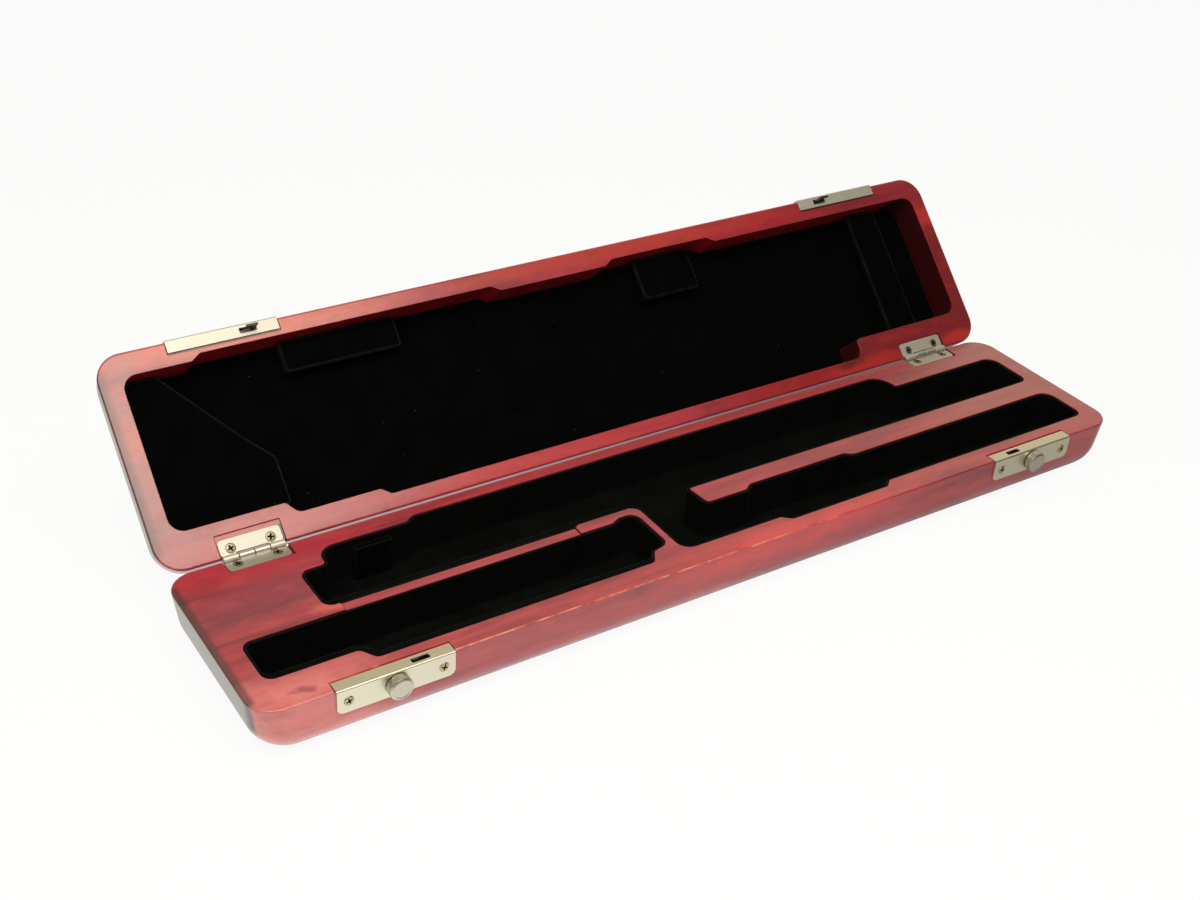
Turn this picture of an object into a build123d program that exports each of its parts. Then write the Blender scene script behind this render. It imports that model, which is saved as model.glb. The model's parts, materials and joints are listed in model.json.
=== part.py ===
from build123d import *

import math
import os

# Hard flute case: two carved hardwood shells, lined bays, butt hinges and slide latches.
#
# Frame: origin at the middle of the base's flat underside, +X along the case towards the
# headjoint end, +Y towards the hinges, +Z up.  Each lid piece is drawn with the lid shut and
# then swung open about the hinge axis, because the case rests open.  Sizes are millimetres.

# ---------------------------------------------------------------- overall sizes
CASE_LENGTH = 420.0          # along X at the rim
CASE_DEPTH = 88.0            # front to back at the rim
BASE_HEIGHT = 24.0
LID_HEIGHT = 20.0
RIM_GAP = 0.3                # between the two rims when the lid is shut
OPEN_ANGLE = 135.0           # degrees from shut to the hinge stop

# ---------------------------------------------------------------- shells
RIM_CORNER = 11.0            # plan corner radius at the rims
FACE_CORNER = 15.0           # plan corner radius of the shells at their flat faces
END_DRAFT = 6.3              # degrees that the base's ends lean inwards
LID_DRAFT = 5.8              # and the lid's
BASE_ROUND = 12.0            # round from the base's walls to its underside
LID_ROUND = 12.0             # round from the lid's walls to its top
RIM_EASE = 0.5               # eased arris round the rims
BAY_DEPTH = 18.0             # rim to the lining's floor in the base
LID_BAY_DEPTH = 15.5         # rim to the velvet panel in the lid

# ---------------------------------------------------------------- linings
LINING_WALL = 1.2
LINING_SHOULDER = 3.4        # thicker padded front wall beside the keywork
LINING_FLOOR = 1.0
LINING_DROP = 0.3            # the lining's lip sits this far under the rim
GLUE_LINE = 0.1              # clearance between a lining and the wood
TIGHTEST_ROUND = 0.3         # smallest round that the lining's board takes
PANEL_THICKNESS = 2.0        # velvet-covered board in the lid
PAD_THICKNESS = 7.5

# ---------------------------------------------------------------- walls between bays
# from the front edge
FRONT_RAIL = 10.8            # front wall beside the headjoint
LIP_RECESS_RAIL = 7.4        # front wall beside the lip plate
FOOT_RAIL = 9.7              # front wall beside the foot joint
FOOT_NECK_RAIL = 16.3        # front wall beside the foot joint's open end
DIVIDER_FRONT = 39.6
SLAT_THICKNESS = 4.6
DIVIDER_THICKNESS = 5.8
TONGUE_FRONT = 33.8
TONGUE_BACK = 45.8
HEAD_BACK = 34.1
LIP_RECESS_BACK = 36.6
# from the back edge
BODY_RAIL = 5.7              # back wall beside the body's keywork
TENON_RAIL = 8.5             # back wall beside the body's left tenon
CROWN_RAIL = 19.2            # back wall of the narrow pocket at the left
SOCKET_RAIL = 17.1           # back wall beside the body's right tenon
# from the left end
FOOT_LEFT = 10.5
FOOT_NECK_LENGTH = 35.7
FOOT_RIGHT = 181.4
BODY_LEFT = 46.0
TENON_LEFT = 57.5
KEYWORK_LEFT = 97.2
SLAT_LEFT = 52.0
SLAT_RIGHT = 154.4
SLAT_DROP = 0.5              # rim to the slat's top edge
SLAT_JOINT = 0.15            # open joint at each end of the slat
HEAD_LEFT = 184.3
TONGUE_TIP = 211.6
LIP_LEFT = 234.7
LIP_RIGHT = 290.1
# from the right end
END_WALL = 8.9
KEYWORK_RIGHT = 72.5

# ---------------------------------------------------------------- lid bay
LID_END_WALL = 9.1
LID_END_WALL_RIGHT = 7.9
LID_FRONT_RAIL = 9.8
LID_LATCH_RAIL = 7.2         # thinner front wall where keywork needs room
LID_HINGE_RAIL_LEFT = 14.8
LID_HINGE_RAIL_RIGHT = 15.7
LID_TENON_RAIL = 9.7
LID_BACK_RAIL = 6.6
LID_TENON_LEFT = 58.7
LID_KEYWORK_LEFT = 98.0
FOOT_KEYS_LEFT = 37.5        # the thinner front wall beside the foot joint
FOOT_KEYS_RIGHT = 176.0
LIP_KEYS_LEFT = 230.0        # and beside the lip plate
LIP_KEYS_RIGHT = 290.5
STEP = 4.0                   # length of each small step in a bay's outline

# ---------------------------------------------------------------- rounds in the bays' outlines
END_ROUND = 6.0              # at the far ends
BAY_ROUND = 4.5              # other inner corners
KEYWORK_ROUND = 8.0          # where the keywork's back wall ends
FOOT_ROUND = 3.0
STEP_ROUND = 2.0
CRISP_ROUND = 0.9

# ---------------------------------------------------------------- hinges
HINGE_INSET = 23.9           # case end to hinge
HINGE_WIDTH = 25.4
HINGE_REACH = 7.4            # leaf edge to the back face
HINGE_AXIS_OUT = 0.3         # axis behind the back face
LEAF_THICKNESS = 0.8
LEAF_SINK = 0.1              # leaf face under the rim
LEAF_CORNER = 1.6
KNUCKLE_RADIUS = 1.4
PIN_RADIUS = 0.6
PIN_CLEARANCE = 0.05
KNUCKLE_GAP = 0.16
HINGE_KNUCKLES = 4
MORTISE_CLEARANCE = 0.3
MORTISE_END_GAP = 1.0        # at the right-hand end of each leaf
MORTISE_LEDGE = 2.2          # bare ledge beyond the lid's left leaf
HINGE_SCREW_INSET = 4.6      # leaf end to screw
HINGE_SCREW_FROM_BACK = 3.6

# ---------------------------------------------------------------- latches
LATCH_INSET = 29.4           # case end to latch plate
LATCH_LENGTH = 46.4
SHEET = 0.8                  # plate thickness
LATCH_DROP = 10.4            # front leg below the rim
STRIKE_RISE = 9.0            # the strike's front leg above the rim
FLANGE_DEPTH = 4.5
FLANGE_GAP = 0.3             # flange edge to the wood behind it
PLATE_CORNER = 2.6
BEND_RADIUS = 0.5
LATCH_SCREW_OFFSET = 18.6    # plate middle to screw
LATCH_SCREW_DROP = 5.4       # rim to screw and knob centres
KNOB_RADIUS = 4.7
KNOB_THICKNESS = 3.8
KNOB_EASE = 0.5
KNOB_STEM_RADIUS = 1.3
KNOB_RIVET_RADIUS = 0.8
KNOB_GAP = 0.3               # knob's back to the plate
STEM_CLEARANCE = 0.1
SLIDE_TRAVEL = 2.8
SLIDE_THICKNESS = 1.0
SLIDE_GAP = 0.2              # slide to the plate's inner face
SLIDE_TOP = 2.6              # rim to the slide's top edge
SLIDE_HEIGHT = 5.3
SLIDE_TAIL = 6.0             # knob centre to the slide's outer end
SLIDE_HOOK_GAP = 0.6         # slide's inner end to the hook's stem
FINGER_LENGTH = 2.3
FINGER_HEIGHT = 0.9
FINGER_REACH = 1.7           # how far the finger stands out from the slide
TAB_HEIGHT = 3.0
TAB_REACH = 2.0
TAB_THICKNESS = 0.8
HOOK_STEM = 11.6             # plate middle to the hook's stem
HOOK_STEM_WIDTH = 1.8
HOOK_FOOT_LENGTH = 3.1
HOOK_FOOT_HEIGHT = 1.2
HOOK_PLAY = 0.3              # finger to the hook's foot
HOOK_FRONT = 1.5             # front face to the hook
HOOK_THICKNESS = 0.8
HOOK_SLOT = 10.4             # plate middle to the hook slot's middle
HOOK_SLOT_LENGTH = 7.2
HOOK_SLOT_FRONT = 0.9        # front face to the slot
HOOK_SLOT_WIDTH = 2.2
HOOK_BASE_LENGTH = 8.6       # riveted foot of the hook behind the strike's flange
HOOK_BASE_WIDTH = 3.2
HOOK_BASE_CLEARANCE = 0.2
POCKET_OUTER = 14.6          # knob centre to the pocket's outer end
POCKET_INNER = 14.4
POCKET_DEPTH = 3.7
POCKET_BOTTOM = 8.4          # rim to the pocket's floor
SPRING_RADIUS = 1.3          # coil radius at the middle of the wire
SPRING_WIRE = 0.18           # wire radius
SPRING_TURNS = 6
SPRING_DEPTH = 2.2           # front face to the spring's axis

# ---------------------------------------------------------------- screws
SCREW_HEAD_RADIUS = 1.9
LATCH_SCREW_HEAD_RADIUS = 1.7
SCREW_SHANK_RADIUS = 0.9
SCREW_HEAD_DEPTH = 1.0
SCREW_LENGTH = 6.0
SCREW_TIP = 1.5
SCREW_CLEARANCE = 0.05
RECESS_WIDTH = 0.5
RECESS_DEPTH = 0.6
RECESS_LENGTH = 2.2

# ---------------------------------------------------------------- pads
CROWN_PAD_FRONT_LENGTH = 15.2    # the end pad's length at the front rail
CROWN_PAD_KNEE_LENGTH = 40.1     # and at its knee
CROWN_PAD_KNEE = 41.1            # front edge to the knee
CROWN_PAD_BACK_LENGTH = 51.0     # and at the hinge rail
CROWN_PAD_NOSE = 53.0            # front edge to the pad's longest place
FOOT_PAD_LEFT = 75.5
FOOT_PAD_LENGTH = 52.0
FOOT_PAD_REACH = 21.0            # front edge to the pad's inner face
LIP_PAD_LEFT = 249.0
LIP_PAD_LENGTH = 30.5
LIP_PAD_REACH = 27.0
SOCKET_PAD_LENGTH = 17.5
SOCKET_PAD_FROM_RIGHT = 26.5     # right end to the pad's outer face
PAD_CLEARANCE = 0.3
PAD_EASE = 1.2
KEY_BLOCK_LEFT = 72.6
KEY_BLOCK_LENGTH = 16.6
KEY_BLOCK_DEPTH = 3.0
KEY_BLOCK_DROP = 3.0             # rim to the block's top
LIP_REST_WIDTH = 4.5             # sloped rest in the lip-plate recess, at the floor
LIP_REST_CREST = 0.8
LIP_REST_DROP = 4.0              # rim to the rest's crest

# ---------------------------------------------------------------- places that follow from the sizes
LEFT = -CASE_LENGTH / 2
RIGHT = CASE_LENGTH / 2
FRONT = -CASE_DEPTH / 2
BACK = CASE_DEPTH / 2
RIM = BASE_HEIGHT
LID_RIM = RIM + RIM_GAP
AXIS_Y = BACK + HINGE_AXIS_OUT
AXIS_Z = RIM + RIM_GAP / 2
HINGE_AXIS = Axis((0, AXIS_Y, AXIS_Z), (1, 0, 0))
HINGE_MIDDLE = LEFT + HINGE_INSET + HINGE_WIDTH / 2
LATCH_MIDDLE = LEFT + LATCH_INSET + LATCH_LENGTH / 2
LATCH_AXIS_Z = RIM - LATCH_SCREW_DROP
STRIKE_SCREW_Z = LID_RIM + LATCH_SCREW_DROP
BAY_FLOOR = RIM - BAY_DEPTH
LINING_TOP = RIM - LINING_DROP
LID_PANEL_FACE = LID_RIM + LID_BAY_DEPTH
LID_ROOF = LID_PANEL_FACE + PANEL_THICKNESS
DIVIDER_BACK = DIVIDER_FRONT + DIVIDER_THICKNESS
SLAT_BACK = DIVIDER_FRONT + SLAT_THICKNESS
BASE_FLOOR = BAY_FLOOR - LINING_FLOOR
SLIDE_END = HOOK_STEM - SLIDE_HOOK_GAP
HOOK_FOOT_TOP = SLIDE_TOP + FINGER_HEIGHT + HOOK_PLAY
HOOK_STEM_MIDDLE = HOOK_STEM + HOOK_STEM_WIDTH / 2
HOOK_MIDDLE = HOOK_FRONT + HOOK_THICKNESS / 2
LEAF_EDGE = BACK - HINGE_REACH
KNUCKLE_RELIEF = AXIS_Y - KNUCKLE_RADIUS - MORTISE_CLEARANCE

os.makedirs("parts", exist_ok=True)


def write(piece, name, mirrored=False, opened=False):
    """Write one sub-part, mirrored to the right-hand end or swung open with the lid."""
    solid = piece.part
    if mirrored:
        solid = mirror(solid, about=Plane.YZ, mode=Mode.PRIVATE)
    if opened:
        solid = solid.rotate(HINGE_AXIS, -OPEN_ANGLE)
    solid.label = name
    export_step(solid, f"parts/{name}.step")


def from_left(x):
    """Frame X of a distance measured from the left end."""
    return LEFT + x


def from_right(x):
    """Frame X of a distance measured from the right end."""
    return RIGHT - x


def from_front(y):
    """Frame Y of a distance measured from the front edge."""
    return FRONT + y


def from_back(y):
    """Frame Y of a distance measured from the back edge."""
    return BACK - y


def inset(corners, walls):
    """Move each edge of a counter-clockwise outline inwards by its own wall.

    corners holds (x, y, radius); walls holds one distance for the edge after each corner.
    Rounds grow or shrink by the wall, so that the lining follows the wood evenly.
    """
    moved = []
    for i, (x, y, radius) in enumerate(corners):
        here = Vector(x, y)
        incoming = (here - Vector(*corners[i - 1][:2])).normalized()
        outgoing = (Vector(*corners[(i + 1) % len(corners)][:2]) - here).normalized()
        before = here + incoming.rotate(Axis.Z, 90) * walls[i - 1]
        after = here + outgoing.rotate(Axis.Z, 90) * walls[i]
        turn = incoming.cross(outgoing).Z
        place = before + incoming * ((after - before).cross(outgoing).Z / turn)
        change = math.copysign(min(walls[i - 1], walls[i]), turn)
        moved.append((place.X, place.Y, max(radius - change, TIGHTEST_ROUND)))
    return moved


def outline(corners):
    """Edges of a closed outline: straight runs joined by rounds, from (x, y, radius) corners."""
    with BuildLine() as path:
        FilletPolyline([(x, y) for x, y, _ in corners], radius=[r for _, _, r in corners], close=True)
    return path.edges()


# ---------------------------------------------------------------- bay outlines
# (x, y, radius) of each corner, counter-clockwise seen from above
LONG_BAY = [
    (from_left(BODY_LEFT), from_front(SLAT_BACK), BAY_ROUND),
    (from_left(SLAT_RIGHT), from_front(SLAT_BACK), CRISP_ROUND),
    (from_left(SLAT_RIGHT + STEP / 2), from_front(DIVIDER_BACK), CRISP_ROUND),
    (from_left(HEAD_LEFT), from_front(DIVIDER_BACK), BAY_ROUND),
    (from_left(HEAD_LEFT), from_front(FRONT_RAIL), END_ROUND),
    (from_left(LIP_LEFT - STEP / 2), from_front(FRONT_RAIL), STEP_ROUND),
    (from_left(LIP_LEFT + STEP / 2), from_front(LIP_RECESS_RAIL), STEP_ROUND),
    (from_left(LIP_RIGHT - STEP / 2), from_front(LIP_RECESS_RAIL), STEP_ROUND),
    (from_left(LIP_RIGHT + STEP / 2), from_front(FRONT_RAIL), STEP_ROUND),
    (from_right(END_WALL), from_front(FRONT_RAIL), BAY_ROUND),
    (from_right(END_WALL), from_front(HEAD_BACK), END_ROUND),
    (from_left(LIP_RIGHT + STEP / 2), from_front(HEAD_BACK), STEP_ROUND),
    (from_left(LIP_RIGHT - STEP / 2), from_front(LIP_RECESS_BACK), STEP_ROUND),
    (from_left(LIP_LEFT + STEP / 2), from_front(LIP_RECESS_BACK), STEP_ROUND),
    (from_left(LIP_LEFT - STEP / 2), from_front(TONGUE_FRONT), STEP_ROUND),
    (from_left(TONGUE_TIP + STEP / 4), from_front(TONGUE_FRONT), STEP_ROUND),
    (from_left(TONGUE_TIP), from_front(TONGUE_BACK), CRISP_ROUND),
    (from_right(END_WALL), from_front(TONGUE_BACK), BAY_ROUND),
    (from_right(END_WALL), from_back(SOCKET_RAIL), END_ROUND),
    (from_right(KEYWORK_RIGHT - STEP / 2), from_back(SOCKET_RAIL), CRISP_ROUND),
    (from_right(KEYWORK_RIGHT), from_back(BODY_RAIL), KEYWORK_ROUND),
    (from_left(KEYWORK_LEFT + STEP), from_back(BODY_RAIL), STEP_ROUND),
    (from_left(KEYWORK_LEFT), from_back(TENON_RAIL), STEP_ROUND),
    (from_left(TENON_LEFT), from_back(TENON_RAIL), KEYWORK_ROUND),
    (from_left(TENON_LEFT), from_back(CROWN_RAIL), STEP_ROUND),
    (from_left(BODY_LEFT), from_back(CROWN_RAIL), BAY_ROUND),
]
FOOT_BAY = [
    (from_left(FOOT_LEFT), from_front(FOOT_NECK_RAIL), BAY_ROUND),
    (from_left(FOOT_LEFT + FOOT_NECK_LENGTH), from_front(FOOT_NECK_RAIL), FOOT_ROUND),
    (from_left(FOOT_LEFT + FOOT_NECK_LENGTH + STEP), from_front(FOOT_RAIL), FOOT_ROUND),
    (from_left(FOOT_RIGHT - 3 * STEP), from_front(FOOT_RAIL), FOOT_ROUND),
    (from_left(FOOT_RIGHT - 2 * STEP), from_front(FOOT_RAIL + 1.5 * STEP), STEP_ROUND),
    (from_left(FOOT_RIGHT), from_front(FOOT_RAIL + 2 * STEP), BAY_ROUND),
    (from_left(FOOT_RIGHT), from_front(DIVIDER_FRONT + STEP / 2), BAY_ROUND),
    (from_left(FOOT_RIGHT - 2 * STEP), from_front(DIVIDER_FRONT + STEP / 2), STEP_ROUND),
    (from_left(FOOT_RIGHT - 3 * STEP), from_front(DIVIDER_FRONT), CRISP_ROUND),
    (from_left(FOOT_LEFT), from_front(DIVIDER_FRONT), BAY_ROUND),
]
LID_BAY = [
    (from_left(LID_END_WALL), from_front(LID_FRONT_RAIL), END_ROUND),
    (from_left(FOOT_KEYS_LEFT), from_front(LID_FRONT_RAIL), STEP_ROUND),
    (from_left(FOOT_KEYS_LEFT + STEP), from_front(LID_LATCH_RAIL), STEP_ROUND),
    (from_left(FOOT_KEYS_RIGHT - STEP), from_front(LID_LATCH_RAIL), STEP_ROUND),
    (from_left(FOOT_KEYS_RIGHT), from_front(LID_FRONT_RAIL), STEP_ROUND),
    (from_left(LIP_KEYS_LEFT), from_front(LID_FRONT_RAIL), STEP_ROUND),
    (from_left(LIP_KEYS_LEFT + STEP), from_front(LID_LATCH_RAIL), STEP_ROUND),
    (from_left(LIP_KEYS_RIGHT - STEP), from_front(LID_LATCH_RAIL), STEP_ROUND),
    (from_left(LIP_KEYS_RIGHT), from_front(LID_FRONT_RAIL), STEP_ROUND),
    (from_right(LID_END_WALL_RIGHT), from_front(LID_FRONT_RAIL), END_ROUND),
    (from_right(LID_END_WALL_RIGHT), from_back(LID_HINGE_RAIL_RIGHT), END_ROUND),
    (from_right(KEYWORK_RIGHT), from_back(LID_HINGE_RAIL_RIGHT), STEP_ROUND),
    (from_right(KEYWORK_RIGHT), from_back(LID_BACK_RAIL), BAY_ROUND),
    (from_left(LID_KEYWORK_LEFT), from_back(LID_BACK_RAIL), STEP_ROUND),
    (from_left(LID_KEYWORK_LEFT - STEP), from_back(LID_TENON_RAIL), STEP_ROUND),
    (from_left(LID_TENON_LEFT), from_back(LID_TENON_RAIL), FOOT_ROUND),
    (from_left(LID_TENON_LEFT - STEP), from_back(LID_HINGE_RAIL_LEFT), STEP_ROUND),
    (from_left(LID_END_WALL), from_back(LID_HINGE_RAIL_LEFT), END_ROUND),
]


# ---------------------------------------------------------------- helpers for the pieces
def shell_block(rim, far_face, draft, far_round):
    """An uncut shell: lofted from the rim to its flat face, then rounded."""
    shorter = 2 * abs(far_face - rim) * math.tan(math.radians(draft))
    with BuildPart() as block:
        with BuildSketch(Plane.XY.offset(rim)):
            RectangleRounded(CASE_LENGTH, CASE_DEPTH, RIM_CORNER)
        with BuildSketch(Plane.XY.offset(far_face)):
            RectangleRounded(CASE_LENGTH - shorter, CASE_DEPTH, FACE_CORNER)
        loft(ruled=True)
        flat_faces = block.faces().filter_by(GeomType.PLANE).filter_by(Axis.Z)
        by_distance = flat_faces.sort_by(lambda face: abs(face.center().Z - far_face))
        fillet(by_distance[0].edges(), far_round)
        flat_faces = block.faces().filter_by(GeomType.PLANE).filter_by(Axis.Z)
        by_distance = flat_faces.sort_by(lambda face: abs(face.center().Z - rim))
        fillet(by_distance[0].edges(), RIM_EASE)
    return block.part


def box(x_span, y_span, z_span, mode=Mode.ADD):
    """Add or cut a box between three pairs of coordinates, given in either order."""
    spans = (x_span, y_span, z_span)
    with Locations(tuple(sum(span) / 2 for span in spans)):
        Box(*(abs(span[1] - span[0]) for span in spans), mode=mode)


def latch_box(u_span, w_span, v_span, mode=Mode.ADD):
    """Add or cut a box behind the left latch plate.

    u runs from the plate's middle towards the case's middle, w down from the base's rim and
    v inwards from the front face.
    """
    box([LATCH_MIDDLE + u for u in u_span], [FRONT + v for v in v_span], [RIM - w for w in w_span], mode)


def rod(start, length, radius, mode=Mode.ADD):
    """Add or cut a round bar along the hinge axis, from X = start."""
    with Locations((start + length / 2, AXIS_Y, AXIS_Z)):
        Cylinder(radius, length, rotation=(0, 90, 0), mode=mode)


def plug(plane, radius, depth, mode=Mode.ADD):
    """Add or cut a round peg that goes into the face that plane lies on."""
    with Locations(plane):
        Cylinder(radius, depth, align=(Align.CENTER, Align.CENTER, Align.MAX), mode=mode)


def cone(plane, wide, narrow, depth, mode=Mode.ADD):
    """Add or cut a taper that goes into the face that plane lies on."""
    with Locations(plane):
        Cone(narrow, wide, depth, align=(Align.CENTER, Align.CENTER, Align.MAX), mode=mode)


def both_ends(x):
    """A place at the left end and its mirror image at the right end."""
    return (x, -x)


def hinge_screw_planes(face, facing):
    """Planes of the hinge screws' heads on a leaf's face; facing is +1 up or -1 down."""
    y = from_back(HINGE_SCREW_FROM_BACK)
    offset = HINGE_WIDTH / 2 - HINGE_SCREW_INSET
    places = [x + side * offset for x in both_ends(HINGE_MIDDLE) for side in (-1, 1)]
    return [Plane(origin=(x, y, face), z_dir=(0, 0, facing)) for x in places]


def front_screw_planes(height):
    """Planes of the screw heads on the front plates at one height."""
    places = [x + side * LATCH_SCREW_OFFSET for x in both_ends(LATCH_MIDDLE) for side in (-1, 1)]
    return [Plane(origin=(x, FRONT - SHEET, height), z_dir=(0, -1, 0)) for x in places]


def left_ones(planes):
    """Those planes that lie on the left-hand hinge or plate."""
    return [plane for plane in planes if plane.origin.X < 0]


def countersinks(planes, head_radius):
    """Cut countersunk screw holes through a plate."""
    hole_radius = SCREW_SHANK_RADIUS + SCREW_CLEARANCE
    for plane in planes:
        cone(plane, head_radius + SCREW_CLEARANCE, hole_radius, SCREW_HEAD_DEPTH, Mode.SUBTRACT)


def pilot_holes(planes, head_radius):
    """Bore countersunk screw holes into the wood."""
    countersinks(planes, head_radius)
    for plane in planes:
        plug(plane, SCREW_SHANK_RADIUS + SCREW_CLEARANCE, SCREW_LENGTH + SCREW_CLEARANCE, Mode.SUBTRACT)


def screws(planes, head_radius):
    """Countersunk wood screws with crossed recesses, one for each plane."""
    shank = SCREW_LENGTH - SCREW_TIP
    recess = (RECESS_LENGTH, RECESS_WIDTH)
    with BuildPart() as group:
        for plane in planes:
            plug(plane, SCREW_SHANK_RADIUS, shank)
            cone(plane.offset(-shank), SCREW_SHANK_RADIUS, RECESS_WIDTH / 2, SCREW_TIP)
            cone(plane, head_radius, SCREW_SHANK_RADIUS, SCREW_HEAD_DEPTH)
            with Locations(plane):
                for length, width in (recess, recess[::-1]):
                    Box(length, width, 2 * RECESS_DEPTH, mode=Mode.SUBTRACT)
    return group


def mortises(rim, facing, left_ledge):
    """Cut hinge mortises and barrel notches; facing is +1 for the base's rim, -1 for the lid's."""
    depth = LEAF_SINK + LEAF_THICKNESS
    for x, ledge in zip(both_ends(HINGE_MIDDLE), (left_ledge, MORTISE_CLEARANCE)):
        start = x - HINGE_WIDTH / 2 - MORTISE_CLEARANCE
        end = x + HINGE_WIDTH / 2 + MORTISE_END_GAP
        box((start, end), (LEAF_EDGE - ledge, BACK), (rim, rim - facing * depth), Mode.SUBTRACT)
        rod(start, end - start, KNUCKLE_RADIUS + MORTISE_CLEARANCE, Mode.SUBTRACT)


def hinge_leaf(underside, planes, knuckles):
    """A leaf of the left hinge: a flat plate whose knuckles curl round the pin."""
    left = HINGE_MIDDLE - HINGE_WIDTH / 2
    right = left + HINGE_WIDTH
    pitch = HINGE_WIDTH / HINGE_KNUCKLES
    length = pitch - KNUCKLE_GAP
    with BuildPart() as leaf:
        with BuildSketch(Plane.XY.offset(underside)):
            make_face(outline([
                (left, LEAF_EDGE, LEAF_CORNER),
                (right, LEAF_EDGE, LEAF_CORNER),
                (right, KNUCKLE_RELIEF, 0),
                (left, KNUCKLE_RELIEF, 0),
            ]))
        extrude(amount=LEAF_THICKNESS)
        for i in knuckles:
            start = left + i * pitch + KNUCKLE_GAP / 2
            box((start, start + length), (KNUCKLE_RELIEF, AXIS_Y), (underside, underside + LEAF_THICKNESS))
            rod(start, length, KNUCKLE_RADIUS)
        rod(left, HINGE_WIDTH, PIN_RADIUS + PIN_CLEARANCE, Mode.SUBTRACT)
        countersinks(left_ones(planes), SCREW_HEAD_RADIUS)
    return leaf


def angle_plate(rim, facing, leg, planes):
    """A plate folded over the left front edge; facing is +1 on the base's rim, -1 on the lid's."""
    tip = rim - facing * leg
    inner = rim - facing * SHEET
    slot_left = LATCH_MIDDLE + HOOK_SLOT - HOOK_SLOT_LENGTH / 2
    with BuildPart() as plate:
        with BuildSketch(Plane.YZ.offset(LATCH_MIDDLE - LATCH_LENGTH / 2)):
            make_face(outline([
                (FRONT - SHEET, tip, 0),
                (FRONT, tip, 0),
                (FRONT, inner, 0),
                (FRONT + FLANGE_DEPTH, inner, 0),
                (FRONT + FLANGE_DEPTH, rim, 0),
                (FRONT - SHEET, rim, BEND_RADIUS),
            ]))
        extrude(amount=LATCH_LENGTH)
        leg_corners = plate.edges().filter_by(Axis.Y).sort_by(lambda edge: abs(edge.center().Z - tip))
        fillet(leg_corners[:2], PLATE_CORNER)
        box(
            (slot_left, slot_left + HOOK_SLOT_LENGTH),
            (FRONT + HOOK_SLOT_FRONT, FRONT + HOOK_SLOT_FRONT + HOOK_SLOT_WIDTH),
            (rim, inner),
            Mode.SUBTRACT,
        )
        countersinks(left_ones(planes), LATCH_SCREW_HEAD_RADIUS)
    return plate.part


def rebates(rim, facing):
    """Cut the shallow rebates that the front plates' flanges lie in."""
    half = LATCH_LENGTH / 2 + FLANGE_GAP
    rebate_y = (FRONT, FRONT + FLANGE_DEPTH + FLANGE_GAP)
    for x in both_ends(LATCH_MIDDLE):
        box((x - half, x + half), rebate_y, (rim, rim - facing * SHEET), Mode.SUBTRACT)


def pad(corners):
    """A pad glued to the lid's panel, with its free face eased."""
    with BuildPart() as block:
        with BuildSketch(Plane.XY.offset(LID_PANEL_FACE - PAD_THICKNESS)):
            make_face(outline(corners))
        extrude(amount=PAD_THICKNESS)
        fillet(block.faces().sort_by(Axis.Z)[0].edges(), PAD_EASE)
    return block


def lining(bay, walls):
    """A tray that follows a bay's outline; walls holds its thickness along each edge."""
    with BuildPart() as tray:
        with BuildSketch(Plane.XY.offset(BASE_FLOOR)):
            make_face(outline(inset(bay, [GLUE_LINE] * len(bay))))
        extrude(amount=LINING_TOP - BASE_FLOOR)
        with BuildSketch(Plane.XY.offset(BAY_FLOOR)):
            make_face(outline(inset(bay, walls)))
        extrude(amount=BAY_DEPTH, mode=Mode.SUBTRACT)
    return tray


def rectangle_corners(x_span, y_span, radius):
    """Corners of a rectangle with equal rounds, for outline()."""
    (x0, x1), (y0, y1) = x_span, y_span
    return [(x0, y0, radius), (x1, y0, radius), (x1, y1, radius), (x0, y1, radius)]


# ---------------------------------------------------------------- places of the screws
BASE_HINGE_SCREWS = hinge_screw_planes(RIM - LEAF_SINK, 1)
LID_HINGE_SCREWS = hinge_screw_planes(LID_RIM + LEAF_SINK, -1)
LATCH_SCREWS = front_screw_planes(LATCH_AXIS_Z)
STRIKE_SCREWS = front_screw_planes(STRIKE_SCREW_Z)

# ---------------------------------------------------------------- base: carved shell
base_block = shell_block(RIM, 0, END_DRAFT, BASE_ROUND)
with BuildPart() as base_shell:
    add(base_block)
    with BuildSketch(Plane.XY.offset(BASE_FLOOR)):
        make_face(outline(LONG_BAY))
        make_face(outline(FOOT_BAY))
    extrude(amount=BASE_HEIGHT, mode=Mode.SUBTRACT)
    box(
        (from_left(SLAT_LEFT), from_left(SLAT_RIGHT)),
        (from_front(DIVIDER_FRONT), from_front(SLAT_BACK)),
        (BASE_FLOOR, RIM),
        Mode.SUBTRACT,
    )
    mortises(RIM, 1, MORTISE_CLEARANCE)
    rebates(RIM, 1)
    for end in both_ends(1):
        box(
            (end * (LATCH_MIDDLE - POCKET_OUTER), end * (LATCH_MIDDLE + POCKET_INNER)),
            (FRONT, FRONT + POCKET_DEPTH),
            (RIM - POCKET_BOTTOM, RIM),
            Mode.SUBTRACT,
        )
    pilot_holes(BASE_HINGE_SCREWS, SCREW_HEAD_RADIUS)
    pilot_holes(LATCH_SCREWS, LATCH_SCREW_HEAD_RADIUS)
write(base_shell, "base_shell")

# ---------------------------------------------------------------- base: slat between two bays
with BuildPart() as divider_slat:
    with BuildSketch(Plane.XY.offset(BASE_FLOOR)):
        make_face(outline(rectangle_corners(
            (from_left(SLAT_LEFT) + SLAT_JOINT, from_left(SLAT_RIGHT) - SLAT_JOINT),
            (from_front(DIVIDER_FRONT), from_front(SLAT_BACK)),
            TIGHTEST_ROUND,
        )))
    extrude(amount=RIM - SLAT_DROP - BASE_FLOOR)
write(divider_slat, "divider_slat")


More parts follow.
